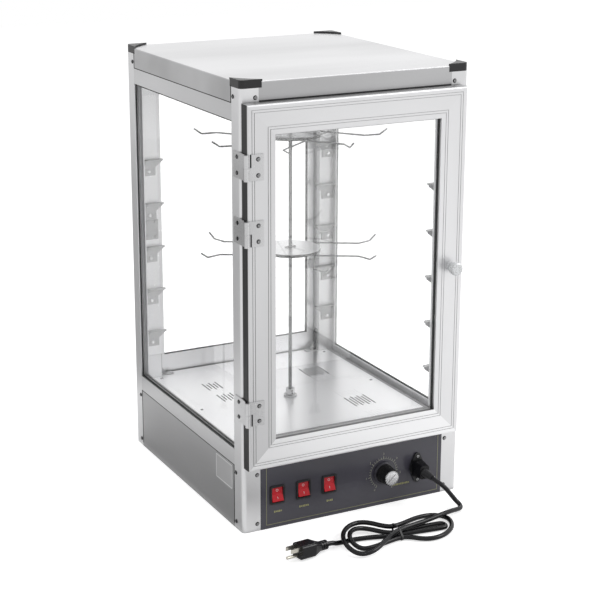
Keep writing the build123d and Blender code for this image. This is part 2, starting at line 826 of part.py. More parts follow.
with BuildPart() as door_screws:
    add(screw_heads(Plane.XZ.offset(-door_face + leaf_t),
                    [(door_x0 + leaf_screw_front, z) for z in hinge_screw_zs]))
door_screws.part.label = "door_screws"
export_step(door_screws.part, "parts/door_screws.step")

# Rotor: rod, two dished discs, and four through-wires under each disc, bent up at the ends
with BuildPart() as rotor_rod:
    with BuildSketch(Plane.XY.offset(rod_z0)):
        Circle(rod_r)
    extrude(amount=rod_z1 - rod_z0)
rotor_rod.part.label = "rotor_rod"
export_step(rotor_rod.part, "parts/rotor_rod.step")

wire_gap = 0.02
wire_high = -disc_t - wire_r - wire_gap
wire_low = wire_high - 2 * wire_r - wire_gap
wire_ends = wire_straight + wire_splay_along

with BuildPart() as one_wire:
    with BuildLine() as wire_path:
        FilletPolyline(
            (-wire_ends - wire_tip_along, wire_offset + wire_splay_out + wire_tip_out, wire_tip_up),
            (-wire_ends, wire_offset + wire_splay_out, 0),
            (-wire_straight, wire_offset, 0),
            (wire_straight, wire_offset, 0),
            (wire_ends, wire_offset + wire_splay_out, 0),
            (wire_ends + wire_tip_along, wire_offset + wire_splay_out + wire_tip_out, wire_tip_up),
            radius=wire_bend)
    with BuildSketch(Plane(origin=wire_path.line @ 0, z_dir=wire_path.line % 0)):
        Circle(wire_r)
    sweep()


def hook_wires(z, turn):
    # two crossed pairs of wires, one pair resting on the other
    with BuildPart() as wires:
        for quarter in range(4):
            height = z + (wire_high if quarter % 2 == 0 else wire_low)
            with Locations(Location((0, 0, height), (0, 0, turn + 90 * quarter))):
                add(one_wire.part)
    return wires.part


def disc(z, turn):
    # dished disc with its hub, the skirt notched where the wires pass
    with BuildPart() as dish:
        with BuildSketch(Plane.XZ) as half:
            rect(rod_r + play, disc_r, z - disc_t, z)
            rect(disc_r - disc_t, disc_r, z - disc_skirt, z)
            rect(rod_r + play, hub_r, z - disc_t - hub_h, z)
            fillet(half.vertices().sort_by_distance((disc_r, z, 0))[0], disc_t / 2)
        revolve(axis=Axis.Z)
        for quarter in range(4):
            drop = disc_skirt if quarter % 2 else -wire_high + wire_r + play
            notch = Plane.XY.offset(z - drop).rotated((0, 0, turn + 90 * quarter))
            with BuildSketch(notch):
                rect(-disc_r, disc_r, wire_offset - wire_r - play, wire_offset + wire_r + play)
            extrude(amount=drop - disc_t, mode=Mode.SUBTRACT)
    return dish.part


with BuildPart() as rotor_discs:
    add(disc(upper_z, upper_turn))
    add(disc(lower_z, lower_turn))
rotor_discs.part.label = "rotor_discs"
export_step(rotor_discs.part, "parts/rotor_discs.step")

with BuildPart() as rotor_hooks:
    add(hook_wires(upper_z, upper_turn))
    add(hook_wires(lower_z, lower_turn))
rotor_hooks.part.label = "rotor_hooks"
export_step(rotor_hooks.part, "parts/rotor_hooks.step")

# Floor and top bearings, and the collar that carries the rotor
set_screw_r = 1.6

with BuildPart() as rotor_bearings:
    with BuildSketch(Plane.XZ):
        rect(rod_r + play, bearing_r, floor_z, floor_z + bearing_h)
        rect(rod_r + play, bearing_sleeve_r, ledge_z - floor_t, floor_z)
        rect(rod_r + play, bearing_r, ceiling_z - bearing_h, ceiling_z)
        rect(rod_r + play, bearing_sleeve_r, ceiling_z - 2 * bearing_h, ceiling_z)
    revolve(axis=Axis.Z)
rotor_bearings.part.label = "rotor_bearings"
export_step(rotor_bearings.part, "parts/rotor_bearings.step")

collar_z = floor_z + bearing_h + play

with BuildPart() as rod_collar:
    with BuildSketch(Plane.XY.offset(collar_z)):
        Circle(collar_r)
        Circle(rod_r + play, mode=Mode.SUBTRACT)
    extrude(amount=collar_h)
    with BuildSketch(Plane.XZ.offset(rod_r + play)):
        with Locations((0, collar_z + collar_h * 0.3), (0, collar_z + collar_h * 0.7)):
            Circle(set_screw_r)
    extrude(amount=collar_r, mode=Mode.SUBTRACT)
rod_collar.part.label = "rod_collar"
export_step(rod_collar.part, "parts/rod_collar.step")

# Gear motor hung under the floor, with the coupling to the rod
coupling_z = rod_z0 - coupling_h / 2
motor_top = coupling_z - 2 * skin
shaft_bite = 12.0
bracket_side = 42.0
bracket_foot = 14.0
boss_r = 9.0

with BuildPart() as shaft_coupling:
    with BuildSketch(Plane.XY.offset(coupling_z)):
        Circle(coupling_r)
    extrude(amount=coupling_h)
    with BuildSketch(Plane.XY.offset(rod_z0)):
        Circle(rod_r + play)
    extrude(amount=coupling_h, mode=Mode.SUBTRACT)
    with BuildSketch(Plane.XY.offset(motor_top - shaft_bite)):
        Circle(shaft_r)
    extrude(amount=coupling_z - motor_top + shaft_bite)
shaft_coupling.part.label = "shaft_coupling"
export_step(shaft_coupling.part, "parts/shaft_coupling.step")

with BuildPart() as gear_motor:
    with BuildSketch(Plane.XY.offset(motor_top - skin - gearbox_h)) as case:
        Rectangle(gearbox_w, gearbox_d)
        fillet(case.vertices(), skin * 3)
    extrude(amount=gearbox_h)
    with BuildSketch(Plane.XY.offset(motor_top - skin)):
        Circle(boss_r)
    extrude(amount=skin)
    with BuildSketch(Plane.XY.offset(motor_top - skin - gearbox_h)):
        Circle(motor_r)
    extrude(amount=-motor_h)
    with BuildSketch(Plane.XY.offset(motor_top - shaft_bite - fit)):
        Circle(shaft_r + play)
    extrude(amount=shaft_bite + fit, mode=Mode.SUBTRACT)
gear_motor.part.label = "gear_motor"
export_step(gear_motor.part, "parts/gear_motor.step")

with BuildPart() as motor_bracket:
    with BuildSketch(Plane.XZ):
        rect(-bracket_side, bracket_side, motor_top - skin, motor_top)
        rect(bracket_side - skin, bracket_side, motor_top - skin, ledge_z)
        rect(bracket_side, bracket_side + bracket_foot, ledge_z - skin, ledge_z)
        mirror(about=Plane.YZ)
    extrude(amount=gearbox_d / 2, both=True)
    with BuildSketch(Plane.XY.offset(motor_top - skin)):
        Circle(boss_r + fit)
    extrude(amount=skin, mode=Mode.SUBTRACT)
motor_bracket.part.label = "motor_bracket"
export_step(motor_bracket.part, "parts/motor_bracket.step")

# Tubular heater under the floor, held by four clips
heater_z = ledge_z - heater_drop
heater_gap = 20.0
clip_t = 1.5
clip_w = 10.0
clip_xs = 60.0

with BuildPart() as heater_element:
    with BuildLine() as heater_path:
        FilletPolyline((-heater_gap, -heater_y, heater_z), (-heater_x, -heater_y, heater_z),
                       (-heater_x, heater_y, heater_z), (heater_x, heater_y, heater_z),
                       (heater_x, -heater_y, heater_z), (heater_gap, -heater_y, heater_z),
                       radius=heater_bend)
    with BuildSketch(Plane(origin=heater_path.line @ 0, z_dir=heater_path.line % 0)):
        Circle(heater_r)
    sweep()
heater_element.part.label = "heater_element"
export_step(heater_element.part, "parts/heater_element.step")

with BuildPart() as heater_clips:
    with BuildSketch(Plane.YZ.offset(clip_xs - clip_w / 2)):
        for side in (-1, 1):
            with Locations((side * heater_y, heater_z)):
                Circle(heater_r + fit + clip_t)
            rect(side * heater_y - clip_t, side * heater_y + clip_t, heater_z, ledge_z - clip_t)
            rect(side * heater_y - clip_w, side * heater_y + clip_w, ledge_z - clip_t, ledge_z)
            with Locations((side * heater_y, heater_z)):
                Circle(heater_r + fit, mode=Mode.SUBTRACT)
    extrude(amount=clip_w)
    mirror(about=Plane.YZ)
heater_clips.part.label = "heater_clips"
export_step(heater_clips.part, "parts/heater_clips.step")

# Lamp behind the header: holder on the ceiling and a tubular bulb
lamp_x = -75.0
lamp_y = -165.0
lamp_r = 11.0
lamp_len = 80.0
holder_r = 14.0
holder_len = 34.0
lamp_z = ceiling_z - holder_r - skin

with BuildPart() as lamp_holder:
    with BuildSketch(Plane.YZ.offset(lamp_x)):
        with Locations((lamp_y, lamp_z)):
            Circle(holder_r)
        rect(lamp_y - holder_r, lamp_y + holder_r, ceiling_z - skin, ceiling_z)
        rect(lamp_y - holder_r / 2, lamp_y + holder_r / 2, lamp_z, ceiling_z)
    extrude(amount=holder_len)
    with BuildSketch(Plane.YZ.offset(lamp_x + holder_len)):
        with Locations((lamp_y, lamp_z)):
            Circle(lamp_r + fit)
    extrude(amount=-holder_len / 2, mode=Mode.SUBTRACT)
lamp_holder.part.label = "lamp_holder"
export_step(lamp_holder.part, "parts/lamp_holder.step")

with BuildPart() as lamp_bulb:
    with BuildSketch(Plane.YZ.offset(lamp_x + holder_len / 2)):
        with Locations((lamp_y, lamp_z)):
            Circle(lamp_r)
    extrude(amount=lamp_len)
    fillet(lamp_bulb.edges().sort_by(Axis.X)[-1], lamp_r - fit)
lamp_bulb.part.label = "lamp_bulb"
export_step(lamp_bulb.part, "parts/lamp_bulb.step")

# Rocker switches: housings with their bezels, and the rockers on two stub pivots
pivot_y = -y_out + rocker_pivot
cavity_h = rocker_h + 8 * rocker_play
cavity_depth = 14.0
stub_r = 1.5
stub_len = 0.9

with BuildPart() as switch_housings:
    with BuildSketch(Plane.XZ.offset(y_out)) as bezels:
        with Locations(*[(x, control_z) for x in switch_xs]):
            RectangleRounded(bezel_w, bezel_h, bezel_t)
    extrude(amount=bezel_t)
    with BuildSketch(Plane.XZ.offset(y_out)):
        with Locations(*[(x, control_z) for x in switch_xs]):
            Rectangle(switch_w, switch_h)
    extrude(amount=-switch_depth)
    with BuildSketch(Plane.XZ.offset(y_out + bezel_t)):
        with Locations(*[(x, control_z) for x in switch_xs]):
            Rectangle(rocker_w + 2 * rocker_play, cavity_h)
    extrude(amount=-bezel_t - cavity_depth, mode=Mode.SUBTRACT)
    for x in switch_xs:
        with BuildSketch(Plane.YZ.offset(x - rocker_w / 2 - rocker_play - stub_len)):
            with Locations((pivot_y, control_z)):
                Circle(stub_r + play)
        extrude(amount=rocker_w + 2 * rocker_play + 2 * stub_len, mode=Mode.SUBTRACT)
switch_housings.part.label = "switch_housings"
export_step(switch_housings.part, "parts/switch_housings.step")

rocker_front = 5.0
rocker_dip = 3.4
rocker_back = 6.0
rocker_waist = 4.0


def rocker(x):
    # rocker cap tipped to its off side, its upper half pressed in
    tilt = Plane(origin=(x, pivot_y, control_z), x_dir=(0, -cos(radians(rocker_tilt)), sin(radians(rocker_tilt))),
                 z_dir=(-1, 0, 0))
    with BuildPart() as cap:
        with BuildSketch(tilt):
            with BuildLine():
                Polyline((-rocker_back, rocker_waist), (-rocker_back / 3, rocker_h / 2 - rocker_play),
                         (rocker_front, rocker_h / 2), (rocker_dip, 0), (rocker_front, -rocker_h / 2),
                         (-rocker_back / 3, -rocker_h / 2 + rocker_play), (-rocker_back, -rocker_waist),
                         close=True)
            make_face()
        extrude(amount=rocker_w / 2, both=True)
        with BuildSketch(tilt):
            Circle(stub_r)
        extrude(amount=rocker_w / 2 + rocker_play + stub_len - play, both=True)
    return cap.part


with BuildPart() as rocker_left:
    add(rocker(switch_xs[0]))
rocker_left.part.label = "rocker_left"
export_step(rocker_left.part, "parts/rocker_left.step")

with BuildPart() as rocker_middle:
    add(rocker(switch_xs[1]))
rocker_middle.part.label = "rocker_middle"
export_step(rocker_middle.part, "parts/rocker_middle.step")

with BuildPart() as rocker_right:
    add(rocker(switch_xs[2]))
rocker_right.part.label = "rocker_right"
export_step(rocker_right.part, "parts/rocker_right.step")

# Thermostat behind the panel, its shaft and the dial knob with a silver cap
thermostat_w = 36.0
thermostat_depth = 28.0
dial_gap = 1.0
dial_skirt_t = 3.0
dial_cap_t = 1.0
shaft_bore = 12.0
shaft_flat = 0.6
dial_plane = Plane(origin=(dial_x, -y_out, control_z), x_dir=(1, 0, 0), z_dir=(0, -1, 0))
shaft_end = dial_gap + dial_len - dial_skirt_t

with BuildPart() as thermostat_body:
    with BuildSketch(dial_plane.offset(-skin)) as body_plan:
        Rectangle(thermostat_w, thermostat_w)
        fillet(body_plan.vertices(), 2 * skin)
    extrude(amount=-thermostat_depth)
    with BuildSketch(dial_plane.offset(-skin)):
        Circle(bush_r)
    extrude(amount=skin)
    with BuildSketch(dial_plane):
        Circle(shaft_r + play)
    extrude(amount=-shaft_bore, mode=Mode.SUBTRACT)
thermostat_body.part.label = "thermostat_body"
export_step(thermostat_body.part, "parts/thermostat_body.step")

with BuildPart() as dial_shaft:
    with BuildSketch(dial_plane.offset(-shaft_bore + fit)):
        Circle(shaft_r)
    extrude(amount=shaft_bore - fit + dial_gap)
    with BuildSketch(dial_plane.offset(dial_gap)):
        Circle(shaft_r)
        rect(-shaft_r, shaft_r, shaft_r - shaft_flat, shaft_r, mode=Mode.SUBTRACT)
    extrude(amount=shaft_end - dial_gap - fit)
dial_shaft.part.label = "dial_shaft"
export_step(dial_shaft.part, "parts/dial_shaft.step")

with BuildPart() as dial_knob:
    with BuildSketch(dial_plane.offset(dial_gap)):
        Circle(dial_skirt_r)
    extrude(amount=dial_skirt_t)
    with BuildSketch(dial_plane.offset(dial_gap + dial_skirt_t)):
        Circle(dial_r0)
    with BuildSketch(dial_plane.offset(dial_gap + dial_len)):
        Circle(dial_r1)
    loft()
    with BuildSketch(dial_plane.offset(dial_gap)):
        Circle(shaft_r + play)
        rect(-shaft_r - play, shaft_r + play, shaft_r - shaft_flat + play, shaft_r + 2 * play, mode=Mode.SUBTRACT)
    extrude(amount=shaft_end - dial_gap, mode=Mode.SUBTRACT)
dial_knob.part.label = "dial_knob"
export_step(dial_knob.part, "parts/dial_knob.step")

with BuildPart() as dial_cap:
    with BuildSketch(dial_plane.offset(dial_gap + dial_len)):
        Circle(dial_cap_r)
    extrude(amount=dial_cap_t)
dial_cap.part.label = "dial_cap"
export_step(dial_cap.part, "parts/dial_cap.step")

# Mains inlet with three pins
inlet_plane = Plane(origin=(inlet_x, -y_out, inlet_z), x_dir=(1, 0, 0), z_dir=(0, -1, 0))
ear_r = 5.5
inlet_depth = 24.0
recess_depth = 15.0
pin_half_w = 1.0
pin_half_h = 2.0
pin_xs = 3.0
pin_step = 7.0
pin_len = 10.0
pin_root = 6.0
pin_places = ((-pin_xs, -pin_step), (-pin_xs, pin_step), (pin_xs, 0.0))

with BuildPart() as inlet_socket:
    with BuildSketch(inlet_plane):
        with Locations((0, inlet_screw), (0, -inlet_screw)):
            Circle(ear_r)
        Circle(inlet_flange_w / 2)
        make_hull()
    extrude(amount=inlet_flange_t)
    with BuildSketch(inlet_plane):
        Rectangle(recess_w + 2 * skin, recess_h + 2 * skin)
    extrude(amount=-inlet_depth)
    with BuildSketch(inlet_plane.offset(inlet_flange_t)) as recess:
        Rectangle(recess_w, recess_h)
    extrude(amount=-inlet_flange_t - recess_depth, mode=Mode.SUBTRACT)
    with BuildSketch(inlet_plane.offset(-recess_depth)):
        with Locations(*pin_places):
            Rectangle(2 * pin_half_w, 2 * pin_half_h)
    extrude(amount=-pin_root, mode=Mode.SUBTRACT)
inlet_socket.part.label = "inlet_socket"
export_step(inlet_socket.part, "parts/inlet_socket.step")

with BuildPart() as inlet_pins:
    with BuildSketch(inlet_plane.offset(-recess_depth - pin_root)):
        with Locations(*pin_places):
            Rectangle(2 * pin_half_w, 2 * pin_half_h)
    extrude(amount=pin_root + pin_len)
inlet_pins.part.label = "inlet_pins"
export_step(inlet_pins.part, "parts/inlet_pins.step")

# Screw heads on the fixed parts: posts, cabinet leaves of the hinges, and inlet flange
post_screw_in = 5.5
post_screw_zs = (12.0, base_h - 11.0, post_h - 14.0)

with BuildPart() as frame_screws:
    add(screw_heads(Plane.XZ.offset(y_out), [(side * (x_out - post_face + post_screw_in), z)
                                             for side in (-1, 1) for z in post_screw_zs]))
    add(screw_heads(Plane.YZ.offset(x_out), [(side * (y_out - post_face + post_screw_in), z)
                                             for side in (-1, 1) for z in post_screw_zs]))
    mirror(about=Plane.XZ)
    mirror(about=Plane.YZ)
    add(screw_heads(Plane(origin=(-x_out - leaf_t, 0, 0), x_dir=(0, -1, 0), z_dir=(-1, 0, 0)),
                    [(y_out - leaf_screw_side, z) for z in hinge_screw_zs]))
    add(screw_heads(inlet_plane.offset(inlet_flange_t), [(0, inlet_screw), (0, -inlet_screw)]))
frame_screws.part.label = "frame_screws"
export_step(frame_screws.part, "parts/frame_screws.step")

# Cord connector seated in the inlet: nose with three sockets, grip, and drooping strain relief
cord_r = 3.75
nose_gap = 0.5
nose_r = 2.0
socket_gap = 0.15
grip_w = 20.0
grip_h = 27.5
grip_z0 = 3.2
grip_z1 = 26.0
grip_end = 0.82
relief_sink = 2.0
relief_start = (inlet_x, -y_out - grip_z1 + relief_sink, inlet_z)
relief_way = (0.294, -0.915, -0.2745)
relief_len = 18.5
relief_end = tuple(a + relief_len * b for a, b in zip(relief_start, relief_way))
relief_r0 = 8.0
relief_r1 = 5.0

with BuildPart() as cord_connector:
    with BuildSketch(inlet_plane.offset(-recess_depth + nose_gap)):
        RectangleRounded(plug_w, plug_h, nose_r)
    extrude(amount=recess_depth - nose_gap + grip_z0)
    with BuildSketch(inlet_plane.offset(grip_z0)):
        RectangleRounded(grip_w, grip_h, 2 * nose_r)
    with BuildSketch(inlet_plane.offset(grip_z1)):
        RectangleRounded(grip_w * grip_end, grip_h * grip_end, 2 * nose_r)
    loft()
    relief_line = Line(relief_start, relief_end)
    with BuildSketch(Plane(origin=relief_line @ 0, z_dir=relief_line % 0)):
        Circle(relief_r0)
    with BuildSketch(Plane(origin=relief_line @ 1, z_dir=relief_line % 0)):
        Circle(relief_r1)
    loft()
    with BuildSketch(inlet_plane.offset(-recess_depth + nose_gap)):
        with Locations(*pin_places):
            Rectangle(2 * (pin_half_w + socket_gap), 2 * (pin_half_h + socket_gap))
    extrude(amount=pin_len, mode=Mode.SUBTRACT)
cord_connector.part.label = "cord_connector"
export_step(cord_connector.part, "parts/cord_connector.step")


def corner_radii(points, share, widest):
    # fillet radius at each inner corner, as a share of the shorter run beside it
    radii = []
    for a, b, c in zip(points, points[1:], points[2:]):
        one, two = dist(a, b), dist(b, c)
        dot = sum((q - p) * (r - q) for p, q, r in zip(a, b, c)) / (one * two)
        half = acos(max(-1.0, min(1.0, dot))) / 2
        radii.append(min(widest, share * min(one, two) / tan(half)))
    return radii


# Free stretch of cord from the connector down to the hank
hank_start = (138.0, -307.5, 8.5)
hank_second = (116.0, -317.2, 12.7)
run_first = 13.0
run_last = 10.5
last_share = run_last / dist(hank_start, hank_second)
run_points = [relief_end, tuple(a + run_first * b for a, b in zip(relief_end, relief_way)),
              (134.6, -280.8, 37.5), (145.2, -281.7, 24.0),
              (152.6, -284.6, 13.6), (157.2, -290.8, 7.6), (154.8, -298.4, 5.6),
              tuple(a + last_share * (a - b) for a, b in zip(hank_start, hank_second)), hank_start]
run_radii = corner_radii(run_points, 0.47, 60.0)

with BuildPart() as cord_run:
    with BuildLine() as run_path:
        FilletPolyline(*run_points, radius=run_radii)
    with BuildSketch(Plane(origin=run_path.line @ 0, z_dir=run_path.line % 0)):
        Circle(cord_r)
    sweep()
cord_run.part.label = "cord_run"
export_step(cord_run.part, "parts/cord_run.step")

# Hank: one unbroken cord laid in two loops to the left and two to the right of its tie
low = 4.7
high = 13.2
waist_x0 = 3.0
waist_x1 = 23.0


def lobe(centre, half_long, half_short, tilt, start, end, heights):
    # corners of a clockwise turn round an ellipse, one for each height
    turn = (start - end) / len(heights)
    grow = 1 / cos(radians(turn / 2))
    corners = []
    for i, z in enumerate(heights):
        at = radians(start - (i + 0.5) * turn)
        x, y = half_long * grow * cos(at), half_short * grow * sin(at)
        c, s = cos(radians(tilt)), sin(radians(tilt))
        corners.append((centre[0] + x * c - y * s, centre[1] + x * s + y * c, z))
    return corners


hank_points = (
    [hank_start, hank_second, (70.0, -330.0, 12.9), (42.0, -334.5, high),
     (waist_x1, -338.0, high), (waist_x0, -344.5, high), (-14.0, -355.0, 12.8)]
    + lobe((-45.8, -333.4), 48.5, 30.6, 57.3, 240, -20, (8.0, 5.4, 11.6, 14.0, 13.4, high))
    + [(waist_x0, -324.0, high), (waist_x1, -325.5, high)]
    + lobe((74.9, -336.7), 44.9, 29.9, 38, 95, -185, (7.5, 4.2, 4.2, 4.2, 4.2, 4.4))
    + [(waist_x1, -350.5, low), (waist_x0, -349.0, low)]
    + lobe((-41.0, -330.0), 32.5, 22.8, 50, 245, -15, (4.4, 4.6, 10.8, 13.6, 11.0, 7.0))
    + [(waist_x0, -329.0, low), (waist_x1, -329.5, low)]
    + lobe((89.0, -339.5), 8.8, 8.8, 0, 91, -96, (4.2, 4.2, 4.2, 4.2))
    + [(waist_x1, -339.5, low), (waist_x0, -339.0, low), (-30.0, -326.5, 4.2), (-60.0, -321.5, 4.2),
       (-86.0, -323.5, 4.6), (-96.4, -325.5, 8.9), (-107.0, -327.5, 9.5)])
hank_radii = corner_radii(hank_points, 0.47, 60.0)

with BuildPart() as cord_hank:
    with BuildLine() as hank_path:
        FilletPolyline(*hank_points, radius=hank_radii)
    with BuildSketch(Plane(origin=hank_path.line @ 0, z_dir=hank_path.line % 0)):
        Circle(cord_r)
    sweep()
cord_hank.part.label = "cord_hank"
export_step(cord_hank.part, "parts/cord_hank.step")

# Length, volume and least gap of the cord, measured on points along it
samples = 900
hank_wire = hank_path.wires()[0]
run_wire = run_path.wires()[0]
spots = [tuple(hank_wire @ (i / samples)) for i in range(samples + 1)]
apart = int(2.2 * 2 * cord_r / (hank_wire.length / samples))
least = min(dist(a, b) for i, a in enumerate(spots) for b in spots[i + apart:])
print("hank length", round(hank_wire.length, 1), "least gap", round(least - 2 * cord_r, 2),
      "radii", [round(r, 1) for r in hank_radii])
print("hank volume", round(cord_hank.part.volume), "against", round(hank_wire.length * pi * cord_r ** 2))
print("run length", round(run_wire.length, 1), "radii", [round(r, 1) for r in run_radii],
      "volume", round(cord_run.part.volume), "against", round(run_wire.length * pi * cord_r ** 2))

# Flat tie round the waist of the hank
tie_x = (waist_x0 + waist_x1) / 2
tie_w = 3.0
tie_gap = 0.45
tie_t = 0.4
high_lanes = ((-338.0, -344.5), (-325.5, -324.0))
low_lanes = ((-350.5, -349.0), (-329.5, -329.0), (-339.5, -339.0))
tie_strands = ([(sum(lane) / 2, high) for lane in high_lanes] + [(sum(lane) / 2, low) for lane in low_lanes])

with BuildPart() as hank_tie:
    with BuildSketch(Plane.YZ.offset(tie_x - tie_w / 2)) as outer:
        with Locations(*tie_strands):
            Circle(cord_r + tie_gap + tie_t)
        make_hull()
    extrude(amount=tie_w)
    with BuildSketch(Plane.YZ.offset(tie_x - tie_w / 2)) as inner:
        with Locations(*tie_strands):
            Circle(cord_r + tie_gap)
        make_hull()
    extrude(amount=tie_w, mode=Mode.SUBTRACT)
hank_tie.part.label = "hank_tie"
export_step(hank_tie.part, "parts/hank_tie.step")

# Plug: ribbed strain relief, tapered neck and body, with two flat blades and a round earth pin
plug_start = hank_points[-1]
plug_plane = Plane(origin=plug_start, x_dir=(2.0, -10.6, 0), z_dir=(-10.6, -2.0, 0.6))
rib_r = 7.6
rib_neck_r = 5.6
rib_w = 3.2
rib_step = 4.6
rib_count = 3
neck_z0 = 14.0
body_z0 = 29.0
body_z1 = 55.0
body_w = 26.0
body_h = 22.0
body_up = 1.6
body_r = 5.0
blade_u = 6.35
blade_v = 6.9
blade_t = 1.5
blade_w = 6.35
blade_len = 18.0
earth_v = -5.0
earth_r = 2.4
earth_len = 21.0
blade_root = 8.0

with BuildPart() as plug_blades:
    with BuildSketch(plug_plane.offset(body_z1 - blade_root)):
        with Locations((-blade_u, blade_v), (blade_u, blade_v)):
            Rectangle(blade_t, blade_w)
    extrude(amount=blade_root + blade_len)
    with BuildSketch(plug_plane.offset(body_z1 - blade_root)):
        with Locations((0, earth_v)):
            Circle(earth_r)
    extrude(amount=blade_root + earth_len)
    fillet(plug_blades.edges().sort_by(Axis(plug_start, plug_plane.z_dir))[-1], earth_r / 2)
plug_blades.part.label = "plug_blades"
export_step(plug_blades.part, "parts/plug_blades.step")

with BuildPart() as cord_plug:
    with BuildSketch(plug_plane):
        Circle(rib_neck_r)
    extrude(amount=neck_z0)
    for i in range(rib_count):
        with BuildSketch(plug_plane.offset(i * rib_step + rib_w / 4)):
            Circle(rib_r)
        extrude(amount=rib_w)
    with BuildSketch(plug_plane.offset(neck_z0)):
        Circle(rib_r)
    with BuildSketch(plug_plane.offset(body_z0)):
        with Locations((0, body_up)):
            RectangleRounded(body_w, body_h, body_r)
    loft()
    with BuildSketch(plug_plane.offset(body_z0)):
        with Locations((0, body_up)):
            RectangleRounded(body_w, body_h, body_r)
    extrude(amount=body_z1 - body_z0)
    add(plug_blades.part, mode=Mode.SUBTRACT)
cord_plug.part.label = "cord_plug"
export_step(cord_plug.part, "parts/cord_plug.step")
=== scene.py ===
import bpy, bmesh, math
from mathutils import Vector, Matrix


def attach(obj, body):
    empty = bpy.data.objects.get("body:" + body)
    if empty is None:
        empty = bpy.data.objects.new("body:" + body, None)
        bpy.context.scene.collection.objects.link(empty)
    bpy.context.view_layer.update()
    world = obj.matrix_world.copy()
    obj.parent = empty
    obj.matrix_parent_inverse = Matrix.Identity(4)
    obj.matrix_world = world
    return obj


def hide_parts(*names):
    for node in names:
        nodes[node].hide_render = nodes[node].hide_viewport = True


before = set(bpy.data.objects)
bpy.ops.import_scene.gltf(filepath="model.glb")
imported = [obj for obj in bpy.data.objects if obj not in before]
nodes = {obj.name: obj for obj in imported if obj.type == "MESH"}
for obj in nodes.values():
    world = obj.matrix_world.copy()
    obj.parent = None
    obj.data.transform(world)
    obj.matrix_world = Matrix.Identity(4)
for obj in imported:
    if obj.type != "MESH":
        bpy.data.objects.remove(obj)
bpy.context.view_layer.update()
scene = bpy.context.scene
MM = 0.001


# Camera at the photograph's viewing angle
IMAGE_PX, SENSOR_MM = 600, 36.0
AZ, EL, ROLL = math.radians(-26.54), math.radians(15.76), math.radians(-0.13)
FOCAL_PX, DIST = 1596.7, 2.6443
AIM = Vector((-0.0354, 0.0, 0.3507))
SHIFT = (0.0478, -0.05)

cam_data = bpy.data.cameras.new("photo_camera")
camera = bpy.data.objects.new("photo_camera", cam_data)
scene.collection.objects.link(camera)
cam_data.sensor_width = SENSOR_MM
cam_data.lens = FOCAL_PX / IMAGE_PX * SENSOR_MM
cam_data.shift_x, cam_data.shift_y = SHIFT
cam_data.clip_start, cam_data.clip_end = 0.05, 60
back = Vector((math.sin(AZ) * math.cos(EL), -math.cos(AZ) * math.cos(EL), math.sin(EL)))
camera.location = AIM + back * DIST
turn = (-back).to_track_quat("-Z", "Y").to_matrix() @ Matrix.Rotation(ROLL, 3, "Z")
camera.rotation_euler = turn.to_euler()
scene.camera = camera


# Shader helpers; all but the first return an output socket of what they add
def new_material(name):
    m = bpy.data.materials.new(name)
    m.use_nodes = True
    nt = m.node_tree
    nt.nodes.clear()
    out = nt.nodes.new("ShaderNodeOutputMaterial")
    shader = nt.nodes.new("ShaderNodeBsdfPrincipled")
    nt.links.new(shader.outputs["BSDF"], out.inputs["Surface"])
    return m, nt, shader


def in_piece(nt, kind):
    # the place ("Object") or the direction ("Normal") in the frame of the piece itself
    return nt.nodes.new("ShaderNodeTexCoord").outputs[kind]


def axes_of(nt, vector):
    split = nt.nodes.new("ShaderNodeSeparateXYZ")
    nt.links.new(vector, split.inputs["Vector"])
    return split.outputs


def vector_math(nt, operation, vector, second=(0, 0, 0), result="Vector"):
    m = nt.nodes.new("ShaderNodeVectorMath")
    m.operation = operation
    m.inputs[1].default_value = second
    nt.links.new(vector, m.inputs[0])
    return m.outputs[result]


def scalar_math(nt, operation, one, two):
    m = nt.nodes.new("ShaderNodeMath")
    m.operation = operation
    nt.links.new(one, m.inputs[0])
    nt.links.new(two, m.inputs[1])
    return m.outputs["Value"]


def mixed(nt, value, one, two):
    m = nt.nodes.new("ShaderNodeMix")
    m.data_type = "RGBA"
    nt.links.new(value, m.inputs["Factor"])
    nt.links.new(one, m.inputs["A"])
    nt.links.new(two, m.inputs["B"])
    return m.outputs["Result"]


NOISE_LOW, NOISE_HIGH = 0.3, 0.7


def ranged(nt, value, low, high, at0=NOISE_LOW, at1=NOISE_HIGH):
    # from low to high as the value goes from at0 to at1, where most of a noise lies
    r = nt.nodes.new("ShaderNodeMapRange")
    r.inputs["From Min"].default_value = at0
    r.inputs["From Max"].default_value = at1
    r.inputs["To Min"].default_value = low
    r.inputs["To Max"].default_value = high
    nt.links.new(value, r.inputs["Value"])
    return r.outputs["Result"]


def blended(nt, value, dark, light):
    ramp = nt.nodes.new("ShaderNodeValToRGB")
    for element, position, colour in zip(ramp.color_ramp.elements, (NOISE_LOW, NOISE_HIGH), (dark, light)):
        element.position = position
        element.color = (*colour, 1)
    nt.links.new(value, ramp.inputs["Fac"])
    return ramp.outputs["Color"]


def grain(nt, stretch, detail=3.0):
    # noise in the frame of the piece; one number for all axes, or three, the smallest along the streaks
    place = nt.nodes.new("ShaderNodeMapping")
    place.inputs["Scale"].default_value = stretch if isinstance(stretch, (list, tuple)) else (stretch,) * 3
    noise = nt.nodes.new("ShaderNodeTexNoise")
    noise.inputs["Scale"].default_value = 1.0
    noise.inputs["Detail"].default_value = detail
    nt.links.new(in_piece(nt, "Object"), place.inputs["Vector"])
    nt.links.new(place.outputs["Vector"], noise.inputs["Vector"])
    return noise.outputs["Fac"]


# Masks: 1 on a part of the piece and 0 on the rest; a mask by place changes within two of these, in metres
HALF_STEP = 0.0001


def stepped(nt, value, at):
    return ranged(nt, value, 0.0, 1.0, at - HALF_STEP, at + HALF_STEP)


